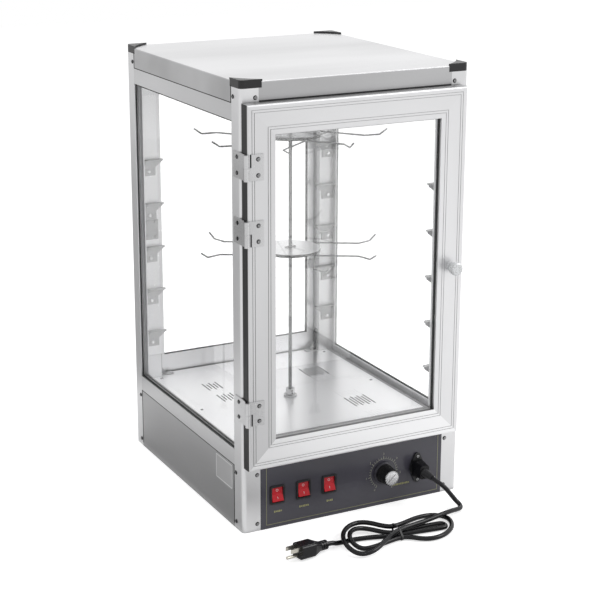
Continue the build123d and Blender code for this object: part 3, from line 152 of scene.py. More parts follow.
def largest(nt, vector):
    axes = axes_of(nt, vector)
    return scalar_math(nt, "MAXIMUM", scalar_math(nt, "MAXIMUM", axes["X"], axes["Y"]), axes["Z"])


def up_face(nt):
    return ranged(nt, axes_of(nt, in_piece(nt, "Normal"))["Z"], 0.0, 1.0, 0.6, 0.9)


def left_face(nt):
    return ranged(nt, axes_of(nt, in_piece(nt, "Normal"))["X"], 1.0, 0.0, -0.9, -0.6)


def square_on(nt):
    # faces that look straight along any axis of the piece, and no cones or slopes
    return ranged(nt, largest(nt, vector_math(nt, "ABSOLUTE", in_piece(nt, "Normal"))), 0.0, 1.0, 0.95, 0.99)


def outside(x, y):
    # points further out than x or y, in metres
    def mask(nt):
        size = vector_math(nt, "ABSOLUTE", in_piece(nt, "Object"))
        return stepped(nt, largest(nt, vector_math(nt, "SUBTRACT", size, (x, y, 10.0))), 0.0)
    return mask


def right_of(x):
    # points past a place on the X axis, in metres
    def mask(nt):
        return stepped(nt, axes_of(nt, in_piece(nt, "Object"))["X"], x)
    return mask


def off_axis(x, z, radius):
    # points further than the radius from an axis that runs along Y, in metres
    def mask(nt):
        flat = vector_math(nt, "MULTIPLY", in_piece(nt, "Object"), (1.0, 0.0, 1.0))
        return stepped(nt, vector_math(nt, "DISTANCE", flat, (x, 0.0, z), "Value"), radius)
    return mask


# Materials
CREASE_SHADE_REACH = 0.009


def creased(nt, colour, least):
    # painted shade: darker where another face stands closer than the reach
    near = nt.nodes.new("ShaderNodeAmbientOcclusion")
    near.samples = 6
    near.inputs["Distance"].default_value = CREASE_SHADE_REACH
    m = nt.nodes.new("ShaderNodeMix")
    m.data_type = "RGBA"
    m.blend_type = "MULTIPLY"
    m.inputs["Factor"].default_value = 1.0
    nt.links.new(colour, m.inputs["A"])
    nt.links.new(ranged(nt, near.outputs["AO"], least, 1.0, 0.15, 0.85), m.inputs["B"])
    return m.outputs["Result"]


def bumped(nt, shader, value, depth):
    b = nt.nodes.new("ShaderNodeBump")
    b.inputs["Strength"].default_value = 0.4
    b.inputs["Distance"].default_value = depth
    nt.links.new(value, b.inputs["Height"])
    nt.links.new(b.outputs["Normal"], shader.inputs["Normal"])


def surface(name, dark, light, rough, stretch, depth=0.00002, metallic=0.0, coat=0.0, spec=0.5, cloud=9,
            other=None, crease_shade=0.3):
    # roughness and a fine bump from one noise, and colour from a broader one; other is a mask with the
    # two colours of its part of the piece, and crease_shade the least that bare metal keeps under its
    # painted corner shade
    m, nt, shader = new_material(name)
    fine = grain(nt, stretch)
    nt.links.new(ranged(nt, fine, *rough), shader.inputs["Roughness"])
    broad = grain(nt, cloud, 2.0)
    colour = blended(nt, broad, dark, light)
    if other:
        mask, dark2, light2 = other
        colour = mixed(nt, mask(nt), colour, blended(nt, broad, dark2, light2))
    # bare metal gets painted shade in its corners
    if metallic == 1.0:
        colour = creased(nt, colour, crease_shade)
    nt.links.new(colour, shader.inputs["Base Color"])
    bumped(nt, shader, fine, depth)
    shader.inputs["Metallic"].default_value = metallic
    shader.inputs["Coat Weight"].default_value = coat
    shader.inputs["Coat Roughness"].default_value = 0.15
    shader.inputs["Specular IOR Level"].default_value = spec
    return m


def grey(v):
    return (v, v, v * 1.012)


def brushed(name, dark, light, rough, along, other=None, crease_shade=0.3, metallic=1.0):
    # brushed sheet: fine lines along one axis, 0 for X, 1 for Y and 2 for Z
    lines, cloud = [2600.0] * 3, [7.0] * 3
    lines[along], cloud[along] = 22.0, 2.0
    return surface(name, grey(dark), grey(light), rough, lines, 0.000006, metallic, cloud=cloud,
                   other=other, crease_shade=crease_shade)


def glass(name, tint, alpha, rough=0.01):
    m, nt, shader = new_material(name)
    smear = grain(nt, 14, 4.0)
    nt.links.new(ranged(nt, smear, rough, rough + 0.02), shader.inputs["Roughness"])
    shader.inputs["Base Color"].default_value = (*tint, 1)
    shader.inputs["Transmission Weight"].default_value = 1.0
    shader.inputs["IOR"].default_value = 1.45
    shader.inputs["Alpha"].default_value = alpha
    return m


# painted shade: the top faces of the door's top and bottom rails darker than the rest
painted_shade_top = (up_face, grey(0.30), grey(0.36))
# painted shade: the left faces of the door's hinge stile near black
painted_shade_left = (left_face, grey(0.02), grey(0.05))
black_rim = (grey(0.010), grey(0.018))

post_steel = brushed("post_steel", 0.66, 0.78, (0.30, 0.44), 2)
side_steel = brushed("side_steel", 0.41, 0.49, (0.28, 0.40), 1)
rail_steel = brushed("rail_steel", 0.60, 0.70, (0.28, 0.40), 1)
cross_steel = brushed("cross_steel", 0.62, 0.74, (0.28, 0.42), 0)
# painted light and shade: the lid's top lighter than its lips
lid_steel = brushed("lid_steel", 0.42, 0.56, (0.28, 0.40), 0, (up_face, grey(0.62), grey(0.75)))
# lit and shaded copies of one door metal: the hinge stile painted darker and the bottom rail painted lighter
hinge_stile_metal = brushed("hinge_stile_metal", 0.64, 0.72, (0.34, 0.48), 2, painted_shade_left, 0.6)
stile_metal = brushed("stile_metal", 0.72, 0.80, (0.34, 0.48), 2, None, 0.6)
rail_metal = brushed("rail_metal", 0.70, 0.78, (0.34, 0.48), 0, painted_shade_top, 0.6)
sill_metal = brushed("sill_metal", 0.86, 0.93, (0.34, 0.48), 0, painted_shade_top, 0.6)
# painted shade: every face of the floor plate but the top, its slot walls and edges, near black
floor_steel = brushed("floor_steel", 0.03, 0.05, (0.28, 0.36), 1, (up_face, grey(0.86), grey(0.97)))
# painted shade: the rear post on the right darker than the one on the left
rear_steel = brushed("rear_steel", 0.70, 0.80, (0.28, 0.38), 2, (right_of(0.0), grey(0.46), grey(0.60)),
                     metallic=0.9)
# painted shade: the brackets on the right darker than those on the left
bracket_steel = surface("bracket_steel", grey(0.34), grey(0.50), (0.28, 0.38), 900, 0.00001, 1.0,
                        other=(right_of(0.0), grey(0.22), grey(0.34)), crease_shade=0.6)
rivet_steel = surface("rivet_steel", grey(0.62), grey(0.76), (0.24, 0.32), 900, 0.00001, 1.0)
hinge_steel = surface("hinge_steel", grey(0.58), grey(0.68), (0.24, 0.32), 900, 0.00001, 1.0)
# painted shade: the sloped sides of the screw heads near black and only their flat faces grey
screw_steel = surface("screw_steel", grey(0.02), grey(0.04), (0.28, 0.34), 900, 0.000004, 1.0,
                      other=(square_on, grey(0.34), grey(0.46)))
# painted shade: the discs' rims and undersides near black, their tops light
disc_steel = surface("disc_steel", grey(0.04), grey(0.06), (0.28, 0.34), 300, 0.000004, 1.0,
                     other=(up_face, grey(0.72), grey(0.82)))
wire_steel = surface("wire_steel", grey(0.13), grey(0.20), (0.26, 0.32), 300, 0.000004, 1.0)
chrome = surface("chrome", grey(0.36), grey(0.50), (0.20, 0.28), 300, 0.000004, 1.0)
satin = surface("satin_steel", grey(0.36), grey(0.48), (0.28, 0.36), 900, 0.00001, 1.0)
dark_steel = surface("dark_steel", (0.16, 0.15, 0.15), (0.26, 0.24, 0.23), (0.4, 0.6), 700, 0.00003, 1.0)
pin_metal = surface("pin_metal", (0.52, 0.50, 0.44), (0.66, 0.64, 0.58), (0.18, 0.34), 700, 0.00001, 1.0)
cap_silver = surface("cap_silver", (0.74, 0.74, 0.76), (0.90, 0.90, 0.91), (0.20, 0.32), 900, 0.00001, 1.0,
                     cloud=120)
knob_pale = surface("knob_pale", (0.62, 0.63, 0.64), (0.76, 0.77, 0.78), (0.22, 0.34), 400, 0.00001, 0.35)
panel_paint = surface("panel_paint", (0.032, 0.030, 0.042), (0.048, 0.046, 0.064), (0.30, 0.40), 1500,
                      0.00001, coat=0.5, cloud=4)
motor_paint = surface("motor_paint", (0.020, 0.020, 0.022), (0.034, 0.034, 0.037), (0.4, 0.6), 800, 0.00004)
black_plastic = surface("black_plastic", (0.006, 0.006, 0.007), (0.011, 0.011, 0.012), (0.26, 0.42), 1200,
                        0.00003)
knob_black = surface("knob_black", (0.002, 0.002, 0.002), (0.004, 0.004, 0.004), (0.08, 0.16), 500, 0.00001,
                     coat=0.3, other=(off_axis(0.056, 0.055, 0.0157), (0.05, 0.048, 0.058),
                                      (0.06, 0.058, 0.07)))
cord_black = surface("cord_black", (0.003, 0.003, 0.004), (0.006, 0.006, 0.008), (0.16, 0.28), 1400,
                     0.00003, spec=0.3)
# painted light: the gasket faces inside the posts pale, lifting the shade in the glazing grooves; the outer
# rim is black rubber
side_rubber = surface("side_rubber", grey(0.80), grey(0.88), (0.5, 0.7), 1500, 0.00005,
                      other=(outside(0.1908, 0.2105), *black_rim))
door_rubber = surface("door_rubber", grey(0.52), grey(0.58), (0.4, 0.5), 1500, 0.00005,
                      other=(right_of(0.1325), *black_rim))
rocker_red = surface("rocker_red", (0.46, 0.000, 0.008), (0.60, 0.001, 0.014), (0.16, 0.26), 220, 0.00001,
                     coat=0.1, spec=0.35)
white_plastic = surface("white_plastic", (0.66, 0.66, 0.64), (0.76, 0.76, 0.74), (0.35, 0.5), 600)
label_white = surface("label_white", (0.66, 0.66, 0.66), (0.80, 0.80, 0.80), (0.4, 0.5), 900, 0.00001)
label_olive = surface("label_olive", (0.32, 0.31, 0.13), (0.42, 0.41, 0.18), (0.4, 0.55), 900, 0.00001)
border_olive = surface("border_olive", (0.22, 0.22, 0.12), (0.29, 0.29, 0.17), (0.4, 0.55), 900, 0.00001)
scale_pale = surface("scale_pale", (0.30, 0.30, 0.24), (0.40, 0.40, 0.32), (0.4, 0.55), 900, 0.00001)
shadow_black = surface("shadow_black", grey(0.006), grey(0.012), (0.6, 0.8), 900, 0.00001)
plate_grey = surface("plate_grey", grey(0.42), grey(0.50), (0.35, 0.5), 600)
plate_rim = surface("plate_rim", grey(0.68), grey(0.76), (0.35, 0.5), 600)
clear_glass = glass("clear_glass", (0.97, 0.985, 0.98), 0.10)
lamp_glass = glass("lamp_glass", (0.95, 0.93, 0.88), 0.75, 0.3)

wears = (
    (post_steel, "front_posts"),
    (rear_steel, "rear_posts"),
    (side_steel, "base_side_panels"),
    (rail_steel, "lower_rails upper_rails"),
    (cross_steel, "base_rear_panel front_rails rear_frame ceiling_plate"),
    (lid_steel, "lid"),
    (floor_steel, "floor_plate"),
    (bracket_steel, "shelf_brackets_left shelf_brackets_right floor_brackets"),
    (satin, "base_pan catch_plate motor_bracket heater_clips rotor_bearings"),
    (hinge_steel, "hinge_cabinet_leaves hinge_door_leaves"),
    (screw_steel, "door_screws frame_screws"),
    (hinge_stile_metal, "door_left_stile"),
    (stile_metal, "door_right_stile"),
    (sill_metal, "door_bottom_rail"),
    (rail_metal, "door_top_rail"),
    (wire_steel, "rotor_rod rotor_hooks"),
    (disc_steel, "rotor_discs"),
    (chrome, "rod_collar shaft_coupling"),
    (dark_steel, "heater_element"),
    (motor_paint, "gear_motor"),
    (pin_metal, "dial_shaft inlet_pins plug_blades"),
    (cap_silver, "dial_cap"),
    (knob_pale, "door_knob"),
    (knob_black, "dial_knob"),
    (panel_paint, "control_panel"),
    (black_plastic, "corner_caps switch_housings thermostat_body inlet_socket hank_tie"),
    (white_plastic, "lamp_holder"),
    (rocker_red, "rocker_left rocker_middle rocker_right"),
    (cord_black, "cord_connector cord_run cord_hank cord_plug"),
    (clear_glass, "side_glass rear_glass door_glass"),
    (lamp_glass, "lamp_bulb"),
    (side_rubber, "glass_gaskets"),
    (door_rubber, "door_gasket"),
)
for material, names in wears:
    for name in names.split():
        data = nodes[name].data
        data.materials.clear()
        data.materials.append(material)


# Helpers for the pieces that the solids leave out
def piece(name, data, material, body):
    ob = bpy.data.objects.new(name, data)
    scene.collection.objects.link(ob)
    data.materials.append(material)
    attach(ob, body)
    return ob


def mesh_of(bm, name, smooth=None):
    me = bpy.data.meshes.new(name)
    bm.normal_update()
    bm.to_mesh(me)
    bm.free()
    if smooth is not None:
        for p in me.polygons:
            p.use_smooth = True
        me.set_sharp_from_angle(angle=math.radians(smooth))
    return me


def on_plane(origin, x_dir, normal):
    # matrix whose local x and z lie along two directions
    z = Vector(normal).normalized()
    x = Vector(x_dir).normalized()
    y = z.cross(x)
    m = Matrix((x, y, z)).transposed().to_4x4()
    m.translation = Vector(origin)
    return m


def circle(radius, count):
    return [(radius * math.cos(math.tau * k / count), radius * math.sin(math.tau * k / count))
            for k in range(count)]


def prism(bm, low, top):
    # closed body between two outlines with as many corners
    bm.faces.new(list(reversed(low)))
    bm.faces.new(top)
    n = len(low)
    for i in range(n):
        bm.faces.new((low[i], low[(i + 1) % n], top[(i + 1) % n], top[i]))


def slab(bm, outline, height, where):
    # straight prism over a list of (x, y), placed by a matrix
    low = [bm.verts.new(where @ Vector((x, y, 0))) for x, y in outline]
    top = [bm.verts.new(where @ Vector((x, y, height))) for x, y in outline]
    prism(bm, low, top)


# How thick the thin pieces are, in millimetres
PRINT, DARK_STRIP, LETTER, CAP_PRINT, PLATE = 0.06, 0.04, 0.05, 0.05, 0.3


def box(bm, where, a, b, c, d, height=PRINT):
    # block from a to b along x and from c to d along y, in millimetres
    slab(bm, [(a * MM, c * MM), (b * MM, c * MM), (b * MM, d * MM), (a * MM, d * MM)], height * MM, where)


def ring(bm, inner, outer, height, where, steps, start=0.0, sweep=360.0):
    # flat ring or arc band between two radii, in millimetres
    inner, outer, height = inner * MM, outer * MM, height * MM
    full = sweep >= 359.9
    count = steps if full else steps + 1
    rows = []
    for i in range(count):
        a = math.radians(start + sweep * i / steps)
        c, s = math.cos(a), math.sin(a)
        rows.append([bm.verts.new(where @ Vector((r * c, r * s, h)))
                     for r, h in ((inner, 0), (outer, 0), (outer, height), (inner, height))])
    for i in range(count if full else count - 1):
        a, b = rows[i], rows[(i + 1) % count]
        for k in range(4):
            bm.faces.new((a[k], b[k], b[(k + 1) % 4], a[(k + 1) % 4]))
    if not full:
        bm.faces.new(list(reversed(rows[0])))
        bm.faces.new(rows[-1])


def words(name, text, size, where, material, body):
    curve = bpy.data.curves.new(name, "FONT")
    curve.body = text
    curve.size = size
    curve.align_x = "CENTER"
    curve.align_y = "CENTER"
    curve.extrude = LETTER * MM
    ob = bpy.data.objects.new(name + "_curve", curve)
    scene.collection.objects.link(ob)
    dg = bpy.context.evaluated_depsgraph_get()
    me = bpy.data.meshes.new_from_object(ob.evaluated_get(dg))
    bpy.data.objects.remove(ob)
    me.transform(where)
    me.name = name
    piece(name, me, material, body)


def studs(name, places, radius, height, material, body):
    # low domed heads, each a lathe of a few rings round its own axis
    count = 20
    bm = bmesh.new()
    for at in places:
        rows = [[bm.verts.new(at @ Vector((x, y, h * height))) for x, y in circle(r * radius, count)]
                for r, h in ((1.0, 0.0), (1.0, 0.35), (0.86, 0.72), (0.55, 0.94))]
        for one, two in zip(rows, rows[1:]):
            for k in range(count):
                bm.faces.new((one[k], one[(k + 1) % count], two[(k + 1) % count], two[k]))
        bm.faces.new(rows[-1])
        bm.faces.new(list(reversed(rows[0])))
    piece(name, mesh_of(bm, name, 50), material, body)


# Cord: one unbroken line from the connector down to the counter and through the hank to the plug
def lobe(centre, half_long, half_short, tilt, start, end, heights):
    # route corners of a clockwise turn round an ellipse, one for each height
    turn = (start - end) / len(heights)
    grow = 1 / math.cos(math.radians(turn / 2))
    corners = []
    for i, z in enumerate(heights):
        at = math.radians(start - (i + 0.5) * turn)
        x, y = half_long * grow * math.cos(at), half_short * grow * math.sin(at)
        c, s = math.cos(math.radians(tilt)), math.sin(math.radians(tilt))
        corners.append((centre[0] + x * c - y * s, centre[1] + x * s + y * c, z))
    return corners


CORD_RADIUS = 3.75
low, high, waist_x0, waist_x1 = 4.7, 13.2, 3.0, 23.0
relief_way = Vector((0.294, -0.915, -0.2745))
relief_end = Vector((118.0, -244.0, 53.0)) + 18.5 * relief_way
hank_start, hank_second = Vector((138.0, -307.5, 8.5)), Vector((116.0, -317.2, 12.7))
run_last = hank_start + 10.5 * (hank_start - hank_second).normalized()
route = (
    [relief_end, relief_end + 13.0 * relief_way, (134.6, -280.8, 37.5), (145.2, -281.7, 24.0),
     (152.6, -284.6, 13.6), (157.2, -290.8, 7.6), (154.8, -298.4, 5.6), run_last, hank_start,
     hank_second, (70.0, -330.0, 12.9), (42.0, -334.5, high),
     (waist_x1, -338.0, high), (waist_x0, -344.5, high), (-14.0, -355.0, 12.8)]
    + lobe((-45.8, -333.4), 48.5, 30.6, 57.3, 240, -20, (8.0, 5.4, 11.6, 14.0, 13.4, high))
    + [(waist_x0, -324.0, high), (waist_x1, -325.5, high)]
    + lobe((74.9, -336.7), 44.9, 29.9, 38, 95, -185, (7.5, 4.2, 4.2, 4.2, 4.2, 4.4))
    + [(waist_x1, -350.5, low), (waist_x0, -349.0, low)]
    + lobe((-41.0, -330.0), 32.5, 22.8, 50, 245, -15, (4.4, 4.6, 10.8, 13.6, 11.0, 7.0))
    + [(waist_x0, -329.0, low), (waist_x1, -329.5, low)]
    + lobe((89.0, -339.5), 8.8, 8.8, 0, 91, -96, (4.2, 4.2, 4.2, 4.2))
    + [(waist_x1, -339.5, low), (waist_x0, -339.0, low), (-30.0, -326.5, 4.2), (-60.0, -321.5, 4.2),
       (-86.0, -323.5, 4.6), (-96.4, -325.5, 8.9), (-107.0, -327.5, 9.5)])

curve = bpy.data.curves.new("supply_cord", "CURVE")
curve.dimensions = "3D"
spline = curve.splines.new("NURBS")
spline.points.add(len(route) - 1)
for point, place in zip(spline.points, route):
    point.co = (*(Vector(place) * MM), 1)
spline.order_u = 3
spline.use_endpoint_u = True
spline.resolution_u = 8
curve.bevel_depth = CORD_RADIUS * MM
curve.bevel_resolution = 5
curve.use_fill_caps = True
cord = piece("supply_cord", curve, cord_black, "cabinet")
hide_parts("cord_run", "cord_hank")

# Planes that the thin pieces lie on; on the upright ones x runs to the right as each is looked at, and y up
SIDE, FRONT, DOOR_FRONT, FLOOR_Z = 195.0, -220.0, -240.0, 124.1
face = on_plane((0, FRONT * MM, 0), (1, 0, 0), (0, -1, 0))
door_face = on_plane((0, DOOR_FRONT * MM, 0), (1, 0, 0), (0, -1, 0))
left_side = on_plane((-SIDE * MM, 0, 0), (0, -1, 0), (-1, 0, 0))
right_side = on_plane((SIDE * MM, 0, 0), (0, 1, 0), (1, 0, 0))
floor_top = Matrix.Translation((0, 0, FLOOR_Z * MM))

# Olive border line round the control panel, open at the top
bm = bmesh.new()
x0, x1, z0, z1, w = -155.0, 158.5, 6.0, 103.0, 0.9
for edges in ((x0, x1, z0, z0 + w), (x0, x0 + w, z0 + w, z1), (x1 - w, x1, z0 + w, z1)):
    box(bm, face, *edges)
piece("panel_border", mesh_of(bm, "panel_border"), border_olive, "cabinet")

# Scale round the dial: ticks, the first of them at 240 degrees, and a plain number at every fifth
DIAL_X, CONTROL_Z = 56.0, 55.0
SCALE_START, TICK_TURN, TICKS, TICKS_A_NUMBER = 240, 10, 31, 5
NUMBER_RADIUS, NUMBER_SIZE = 32.0, 5.2
dial_face = face @ Matrix.Translation((DIAL_X * MM, CONTROL_Z * MM, 0))
bm = bmesh.new()
for i in range(TICKS):
    at = dial_face @ Matrix.Rotation(math.radians(SCALE_START - TICK_TURN * i), 4, "Z")
    reach, half = (28.2, 0.45) if i % TICKS_A_NUMBER == 0 else (26.8, 0.28)
    box(bm, at, 24.0, reach, -half, half)
ring(bm, 23.4, 23.8, PRINT, dial_face, 60, -60, 300)
piece("dial_scale", mesh_of(bm, "dial_scale"), scale_pale, "cabinet")
for i in range(TICKS // TICKS_A_NUMBER + 1):
    a = math.radians(SCALE_START - TICK_TURN * TICKS_A_NUMBER * i)
    across, up = NUMBER_RADIUS * MM * math.cos(a), NUMBER_RADIUS * MM * math.sin(a)
    where = dial_face @ Matrix.Translation((across, up, 0))
    words("dial_number_%d" % i, str(i), NUMBER_SIZE * MM, where, scale_pale, "cabinet")

# Rows of plain marks under the switches and beside the dial
MARK_PITCH, MARK_HALF, MARK_TALL = 2.9, 1.0, (1.7, 1.2, 1.5)
for name, x, z, count in (("left", -134.5, 26.5, 5), ("middle", -88.5, 26.5, 6), ("right", -42.5, 26.5, 4),
                          ("dial", 89.0, 29.5, 11)):
    bm = bmesh.new()
    for i in range(count):
        u = x + (i - (count - 1) / 2) * MARK_PITCH
        tall = MARK_TALL[i % len(MARK_TALL)]
        box(bm, face, u - MARK_HALF, u + MARK_HALF, z - tall, z + tall)
    piece("marks_" + name, mesh_of(bm, "marks_" + name), label_olive, "cabinet")

# O and I on each rocker, lying on the two flats of the tipped cap
TILT = math.radians(14.0)
PIVOT_Y, CAP_LOW, CAP_RISE, CAP_HALF = -217.0, 3.4, 1.6, 11.6
out_dir = Vector((0, -math.cos(TILT), math.sin(TILT)))
up_dir = Vector((0, math.sin(TILT), math.cos(TILT)))
for side, x in (("left", -136.0), ("middle", -90.0), ("right", -44.0)):
    pivot = Vector((x * MM, PIVOT_Y * MM, CONTROL_Z * MM))
    bm = bmesh.new()
    for v, mark in ((6.0, "o"), (-6.0, "i")):
        dish = CAP_LOW + CAP_RISE * abs(v) / CAP_HALF
        normal = (out_dir - math.copysign(CAP_RISE / CAP_HALF, v) * up_dir).normalized()
        at = on_plane(pivot + up_dir * v * MM + out_dir * (dish + 0.02) * MM, (1, 0, 0), normal)
        if mark == "o":
            ring(bm, 1.55, 2.05, PRINT, at, 32)
        else:
            box(bm, at, -0.3, 0.3, -1.9, 1.9)
    piece("rocker_marks_" + side, mesh_of(bm, "rocker_marks_" + side), label_white, "rocker_" + side)

# Pointer line across the dial's cap, and ridges round its grip
CAP_FRONT, POINTER_TURN, RIDGES = 27.0, 42, 30
cap_face = (face @ Matrix.Translation((DIAL_X * MM, CONTROL_Z * MM, CAP_FRONT * MM))
            @ Matrix.Rotation(math.radians(POINTER_TURN), 4, "Z"))
bm = bmesh.new()
box(bm, cap_face, -9, 9.5, -0.45, 0.45, CAP_PRINT)
ring(bm, 10.9, 11.3, CAP_PRINT, cap_face, 60)
piece("dial_pointer", mesh_of(bm, "dial_pointer"), black_plastic, "dial")
bm = bmesh.new()
for i in range(RIDGES):
    at = dial_face @ Matrix.Rotation(math.radians(360 // RIDGES * i), 4, "Z")
    foot, head = [[bm.verts.new(at @ Vector(((r + out) * MM, across * MM, z * MM)))
                   for out, across in ((-0.4, -0.5), (0.35, -0.25), (0.35, 0.25), (-0.4, 0.5))]
                  for r, z in ((14.9, 5.0), (13.1, 25.0))]
    prism(bm, foot, head)
piece("dial_ridges", mesh_of(bm, "dial_ridges"), knob_black, "dial")

# Bare plate on the left side of the base, with a raised rim
bm = bmesh.new()
box(bm, left_side, 121.5, 183, 60, 101, PLATE)
upright = [e for e in bm.edges if abs(e.calc_length() - PLATE * MM) < 1e-6]
bmesh.ops.bevel(bm, geom=upright, offset=3 * MM, segments=5, affect="EDGES")
piece("side_plate", mesh_of(bm, "side_plate", 30), plate_grey, "cabinet")
bm = bmesh.new()
y0, y1, z0, z1, w = 122.0, 182.5, 60.5, 100.5, 1.8
plate_face = left_side @ Matrix.Translation((0, 0, PLATE * MM))
for edges in ((y0, y1, z0, z0 + w), (y0, y1, z1 - w, z1), (y0, y0 + w, z0 + w, z1 - w),
              (y1 - w, y1, z0 + w, z1 - w)):
    box(bm, plate_face, *edges)
piece("side_plate_rim", mesh_of(bm, "side_plate_rim"), plate_rim, "cabinet")

# Painted shadow in the gaps beside, under and over the panels and the lid
bm = bmesh.new()
for side in (left_side, right_side):
    for a, b in ((6.0, 105.0), (672.5, 698.0)):
        for end in (-190.0, 187.2):
            box(bm, side, end, end + 2.8, a, b, DARK_STRIP)
    box(bm, side, -189.5, 189.5, 671.4, 672.8, DARK_STRIP)
    box(bm, side, -187.0, 187.0, 103.6, 105.0, DARK_STRIP)
box(bm, face, -164.5, 164.5, 675.4, 677.6, DARK_STRIP)
piece("case_gap_shadows", mesh_of(bm, "case_gap_shadows"), shadow_black, "cabinet")

# Painted shadow in the gaps on both sides of each hinge barrel
bm = bmesh.new()
for z0, z1 in ((584.0, 603.5), (465.0, 484.5), (184.5, 204.0)):
    box(bm, door_face, -192.5, -191.2, z0, z1, DARK_STRIP)
    box(bm, door_face, -189.4, -187.7, z0, z1, DARK_STRIP)
piece("hinge_gap_shadows", mesh_of(bm, "hinge_gap_shadows"), shadow_black, "door")

# Dark lines along the floor plate, and painted shade in its louvre slots
SLOT_DROP, SLOT_PITCH, SLOT_HALF, SLOT_END = 0.3, 6.0, 1.2, 0.6
bm = bmesh.new()
for x in (-174.6, 174.6):
    box(bm, floor_top, x - 0.45, x + 0.45, -188.0, 188.0, DARK_STRIP)
in_slot = Matrix.Translation((0, 0, (FLOOR_Z - SLOT_DROP) * MM))
for x_mid, y_mid, count, long_slot, short_slot in ((-99, 102, 5, 36, 23), (-99, 41, 5, 36, 23),
                                                   (94, 91, 7, 45, 32), (94, -74, 7, 45, 32)):
    for i in range(count):
        x = x_mid + (i - (count - 1) / 2) * SLOT_PITCH
        half = (long_slot if i % 2 == 0 else short_slot) / 2 - SLOT_END
        box(bm, in_slot, x - SLOT_HALF, x + SLOT_HALF, y_mid - half, y_mid + half, DARK_STRIP)
piece("floor_lines_and_slot_shade", mesh_of(bm, "floor_lines_and_slot_shade"), shadow_black, "cabinet")

# Screw heads on the floor plate, and bright rivet heads on the brackets
studs("floor_screws", [Matrix.Translation((x * MM, y * MM, FLOOR_Z * MM))
                       for x in (-162, 162) for y in (-175, 6, 178)],
      2.6 * MM, 1.1 * MM, chrome, "cabinet")
RIVET_X, RIVET_Y, RIVET_Z0, BRACKET_PITCH = 173, 188.5, 190.0, 76.0
studs("bracket_rivets", [on_plane((x * MM, side * RIVET_Y * MM, (RIVET_Z0 + BRACKET_PITCH * i) * MM),
                                  (1, 0, 0), (0, -side, 0))
                         for x in (-RIVET_X, RIVET_X) for side in (-1, 1) for i in range(5)],
      3.3 * MM, 1.9 * MM, rivet_steel, "cabinet")

# Cross pins that hold the discs on the rod
bm = bmesh.new()
for z in (386.8, 571.2):
    slab(bm, circle(0.9 * MM, 12), 20 * MM, on_plane((-10 * MM, 0, z * MM), (0, 1, 0), (1, 0, 0)))
piece("disc_pins", mesh_of(bm, "disc_pins", 40), dark_steel, "rotor")


# Stage: white world and floor as the camera, metal and glass see them, softer as a light
def seen_ray(nt, *kinds):
    # 1 where one of these kinds of ray looks, 0 for the light that falls on things
    path = nt.nodes.new("ShaderNodeLightPath")
    total = path.outputs[kinds[0]]
    for kind in kinds[1:]:
        total = scalar_math(nt, "MAXIMUM", total, path.outputs[kind])
    return total


WORLD_LIGHT, WORLD_SEEN = 0.6, 1.0
FLOOR_GLOW_SEEN, FLOOR_GLOW_MIRRORED = 0.62, 0.25
world = bpy.data.worlds.new("studio")
scene.world = world
world.use_nodes = True
wt = world.node_tree
wt.nodes.clear()
w_out = wt.nodes.new("ShaderNodeOutputWorld")
w_back = wt.nodes.new("ShaderNodeBackground")
w_back.inputs["Color"].default_value = (1, 1, 1, 1)
seen = seen_ray(wt, "Is Camera Ray", "Is Transmission Ray", "Is Glossy Ray")
wt.links.new(ranged(wt, seen, WORLD_LIGHT, WORLD_SEEN, 0.0, 1.0), w_back.inputs["Strength"])
wt.links.new(w_back.outputs["Background"], w_out.inputs["Surface"])

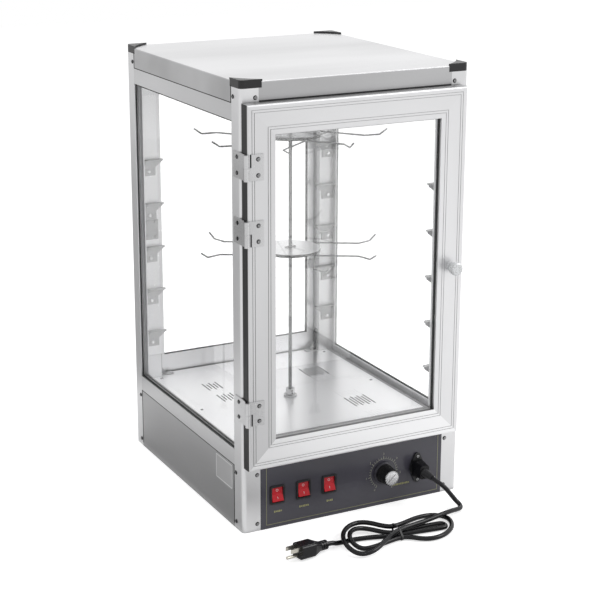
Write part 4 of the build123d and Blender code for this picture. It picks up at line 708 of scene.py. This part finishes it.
bm = bmesh.new()
bmesh.ops.create_grid(bm, x_segments=2, y_segments=2, size=6)
floor = bpy.data.objects.new("floor", mesh_of(bm, "floor"))
floor.location = (0, 0, -0.0002)
scene.collection.objects.link(floor)
fm = bpy.data.materials.new("floor_white")
fm.use_nodes = True
ft = fm.node_tree
ft.nodes.clear()
f_out = ft.nodes.new("ShaderNodeOutputMaterial")
f_add = ft.nodes.new("ShaderNodeAddShader")
f_emit = ft.nodes.new("ShaderNodeEmission")
f_emit.inputs["Color"].default_value = (1, 1, 1, 1)
f_diff = ft.nodes.new("ShaderNodeBsdfDiffuse")
f_diff.inputs["Color"].default_value = (0.8, 0.8, 0.8, 1)
glow_seen = ranged(ft, seen_ray(ft, "Is Camera Ray", "Is Transmission Ray"), 0.0, FLOOR_GLOW_SEEN, 0.0, 1.0)
glow_mirrored = ranged(ft, seen_ray(ft, "Is Glossy Ray"), 0.0, FLOOR_GLOW_MIRRORED, 0.0, 1.0)
ft.links.new(scalar_math(ft, "ADD", glow_seen, glow_mirrored), f_emit.inputs["Strength"])
ft.links.new(f_diff.outputs["BSDF"], f_add.inputs[0])
ft.links.new(f_emit.outputs["Emission"], f_add.inputs[1])
ft.links.new(f_add.outputs["Shader"], f_out.inputs["Surface"])
floor.data.materials.append(fm)


def soft_light(name, where, aim, size, power):
    data = bpy.data.lights.new(name, "AREA")
    data.shape = "RECTANGLE"
    data.size, data.size_y = size
    data.energy = power
    ob = bpy.data.objects.new(name, data)
    ob.location = where
    ob.rotation_euler = (Vector(aim) - Vector(where)).to_track_quat("-Z", "Y").to_euler()
    scene.collection.objects.link(ob)


def card(name, shade, lift, corners):
    # grey card that lies on the floor, darkens what metal mirrors on one side, and shows in nothing else
    me = bpy.data.meshes.new(name)
    me.from_pydata([Vector((x, y, lift)) for x, y in corners], [], [(0, 1, 2, 3)])
    ob = bpy.data.objects.new(name, me)
    m, nt, shader = new_material(name)
    shader.inputs["Base Color"].default_value = (shade, shade, shade, 1)
    shader.inputs["Roughness"].default_value = 1.0
    me.materials.append(m)
    ob.visible_camera = False
    ob.visible_diffuse = False
    ob.visible_transmission = False
    ob.visible_shadow = False
    scene.collection.objects.link(ob)


card("card_left_floor", 0.72, 0.0005, [(-0.199, -0.23), (-0.37, -0.05), (-0.3, 0.4), (-0.2, 0.22)])
card("card_front_floor", 0.6, 0.0004, [(-0.4, -0.45), (-0.04, -0.45), (0.9, -2.6), (1.0, -4.0)])
card("card_back_floor", 0.05, 0.0005, [(-0.15, 0.5), (1.6, 0.5), (1.9, 2.8), (0.2, 2.8)])
card("card_rear_floor", 0.45, 0.0003, [(-1.6, 0.5), (-0.15, 0.5), (0.2, 2.8), (-1.6, 2.8)])
soft_light("key", (2.2, -1.4, 2.0), (0, 0, 0.35), (1.4, 1.4), 34)
soft_light("top", (0.2, 0.6, 2.6), (0, 0, 0.4), (2.4, 2.0), 16)

scene.view_settings.view_transform = "Standard"
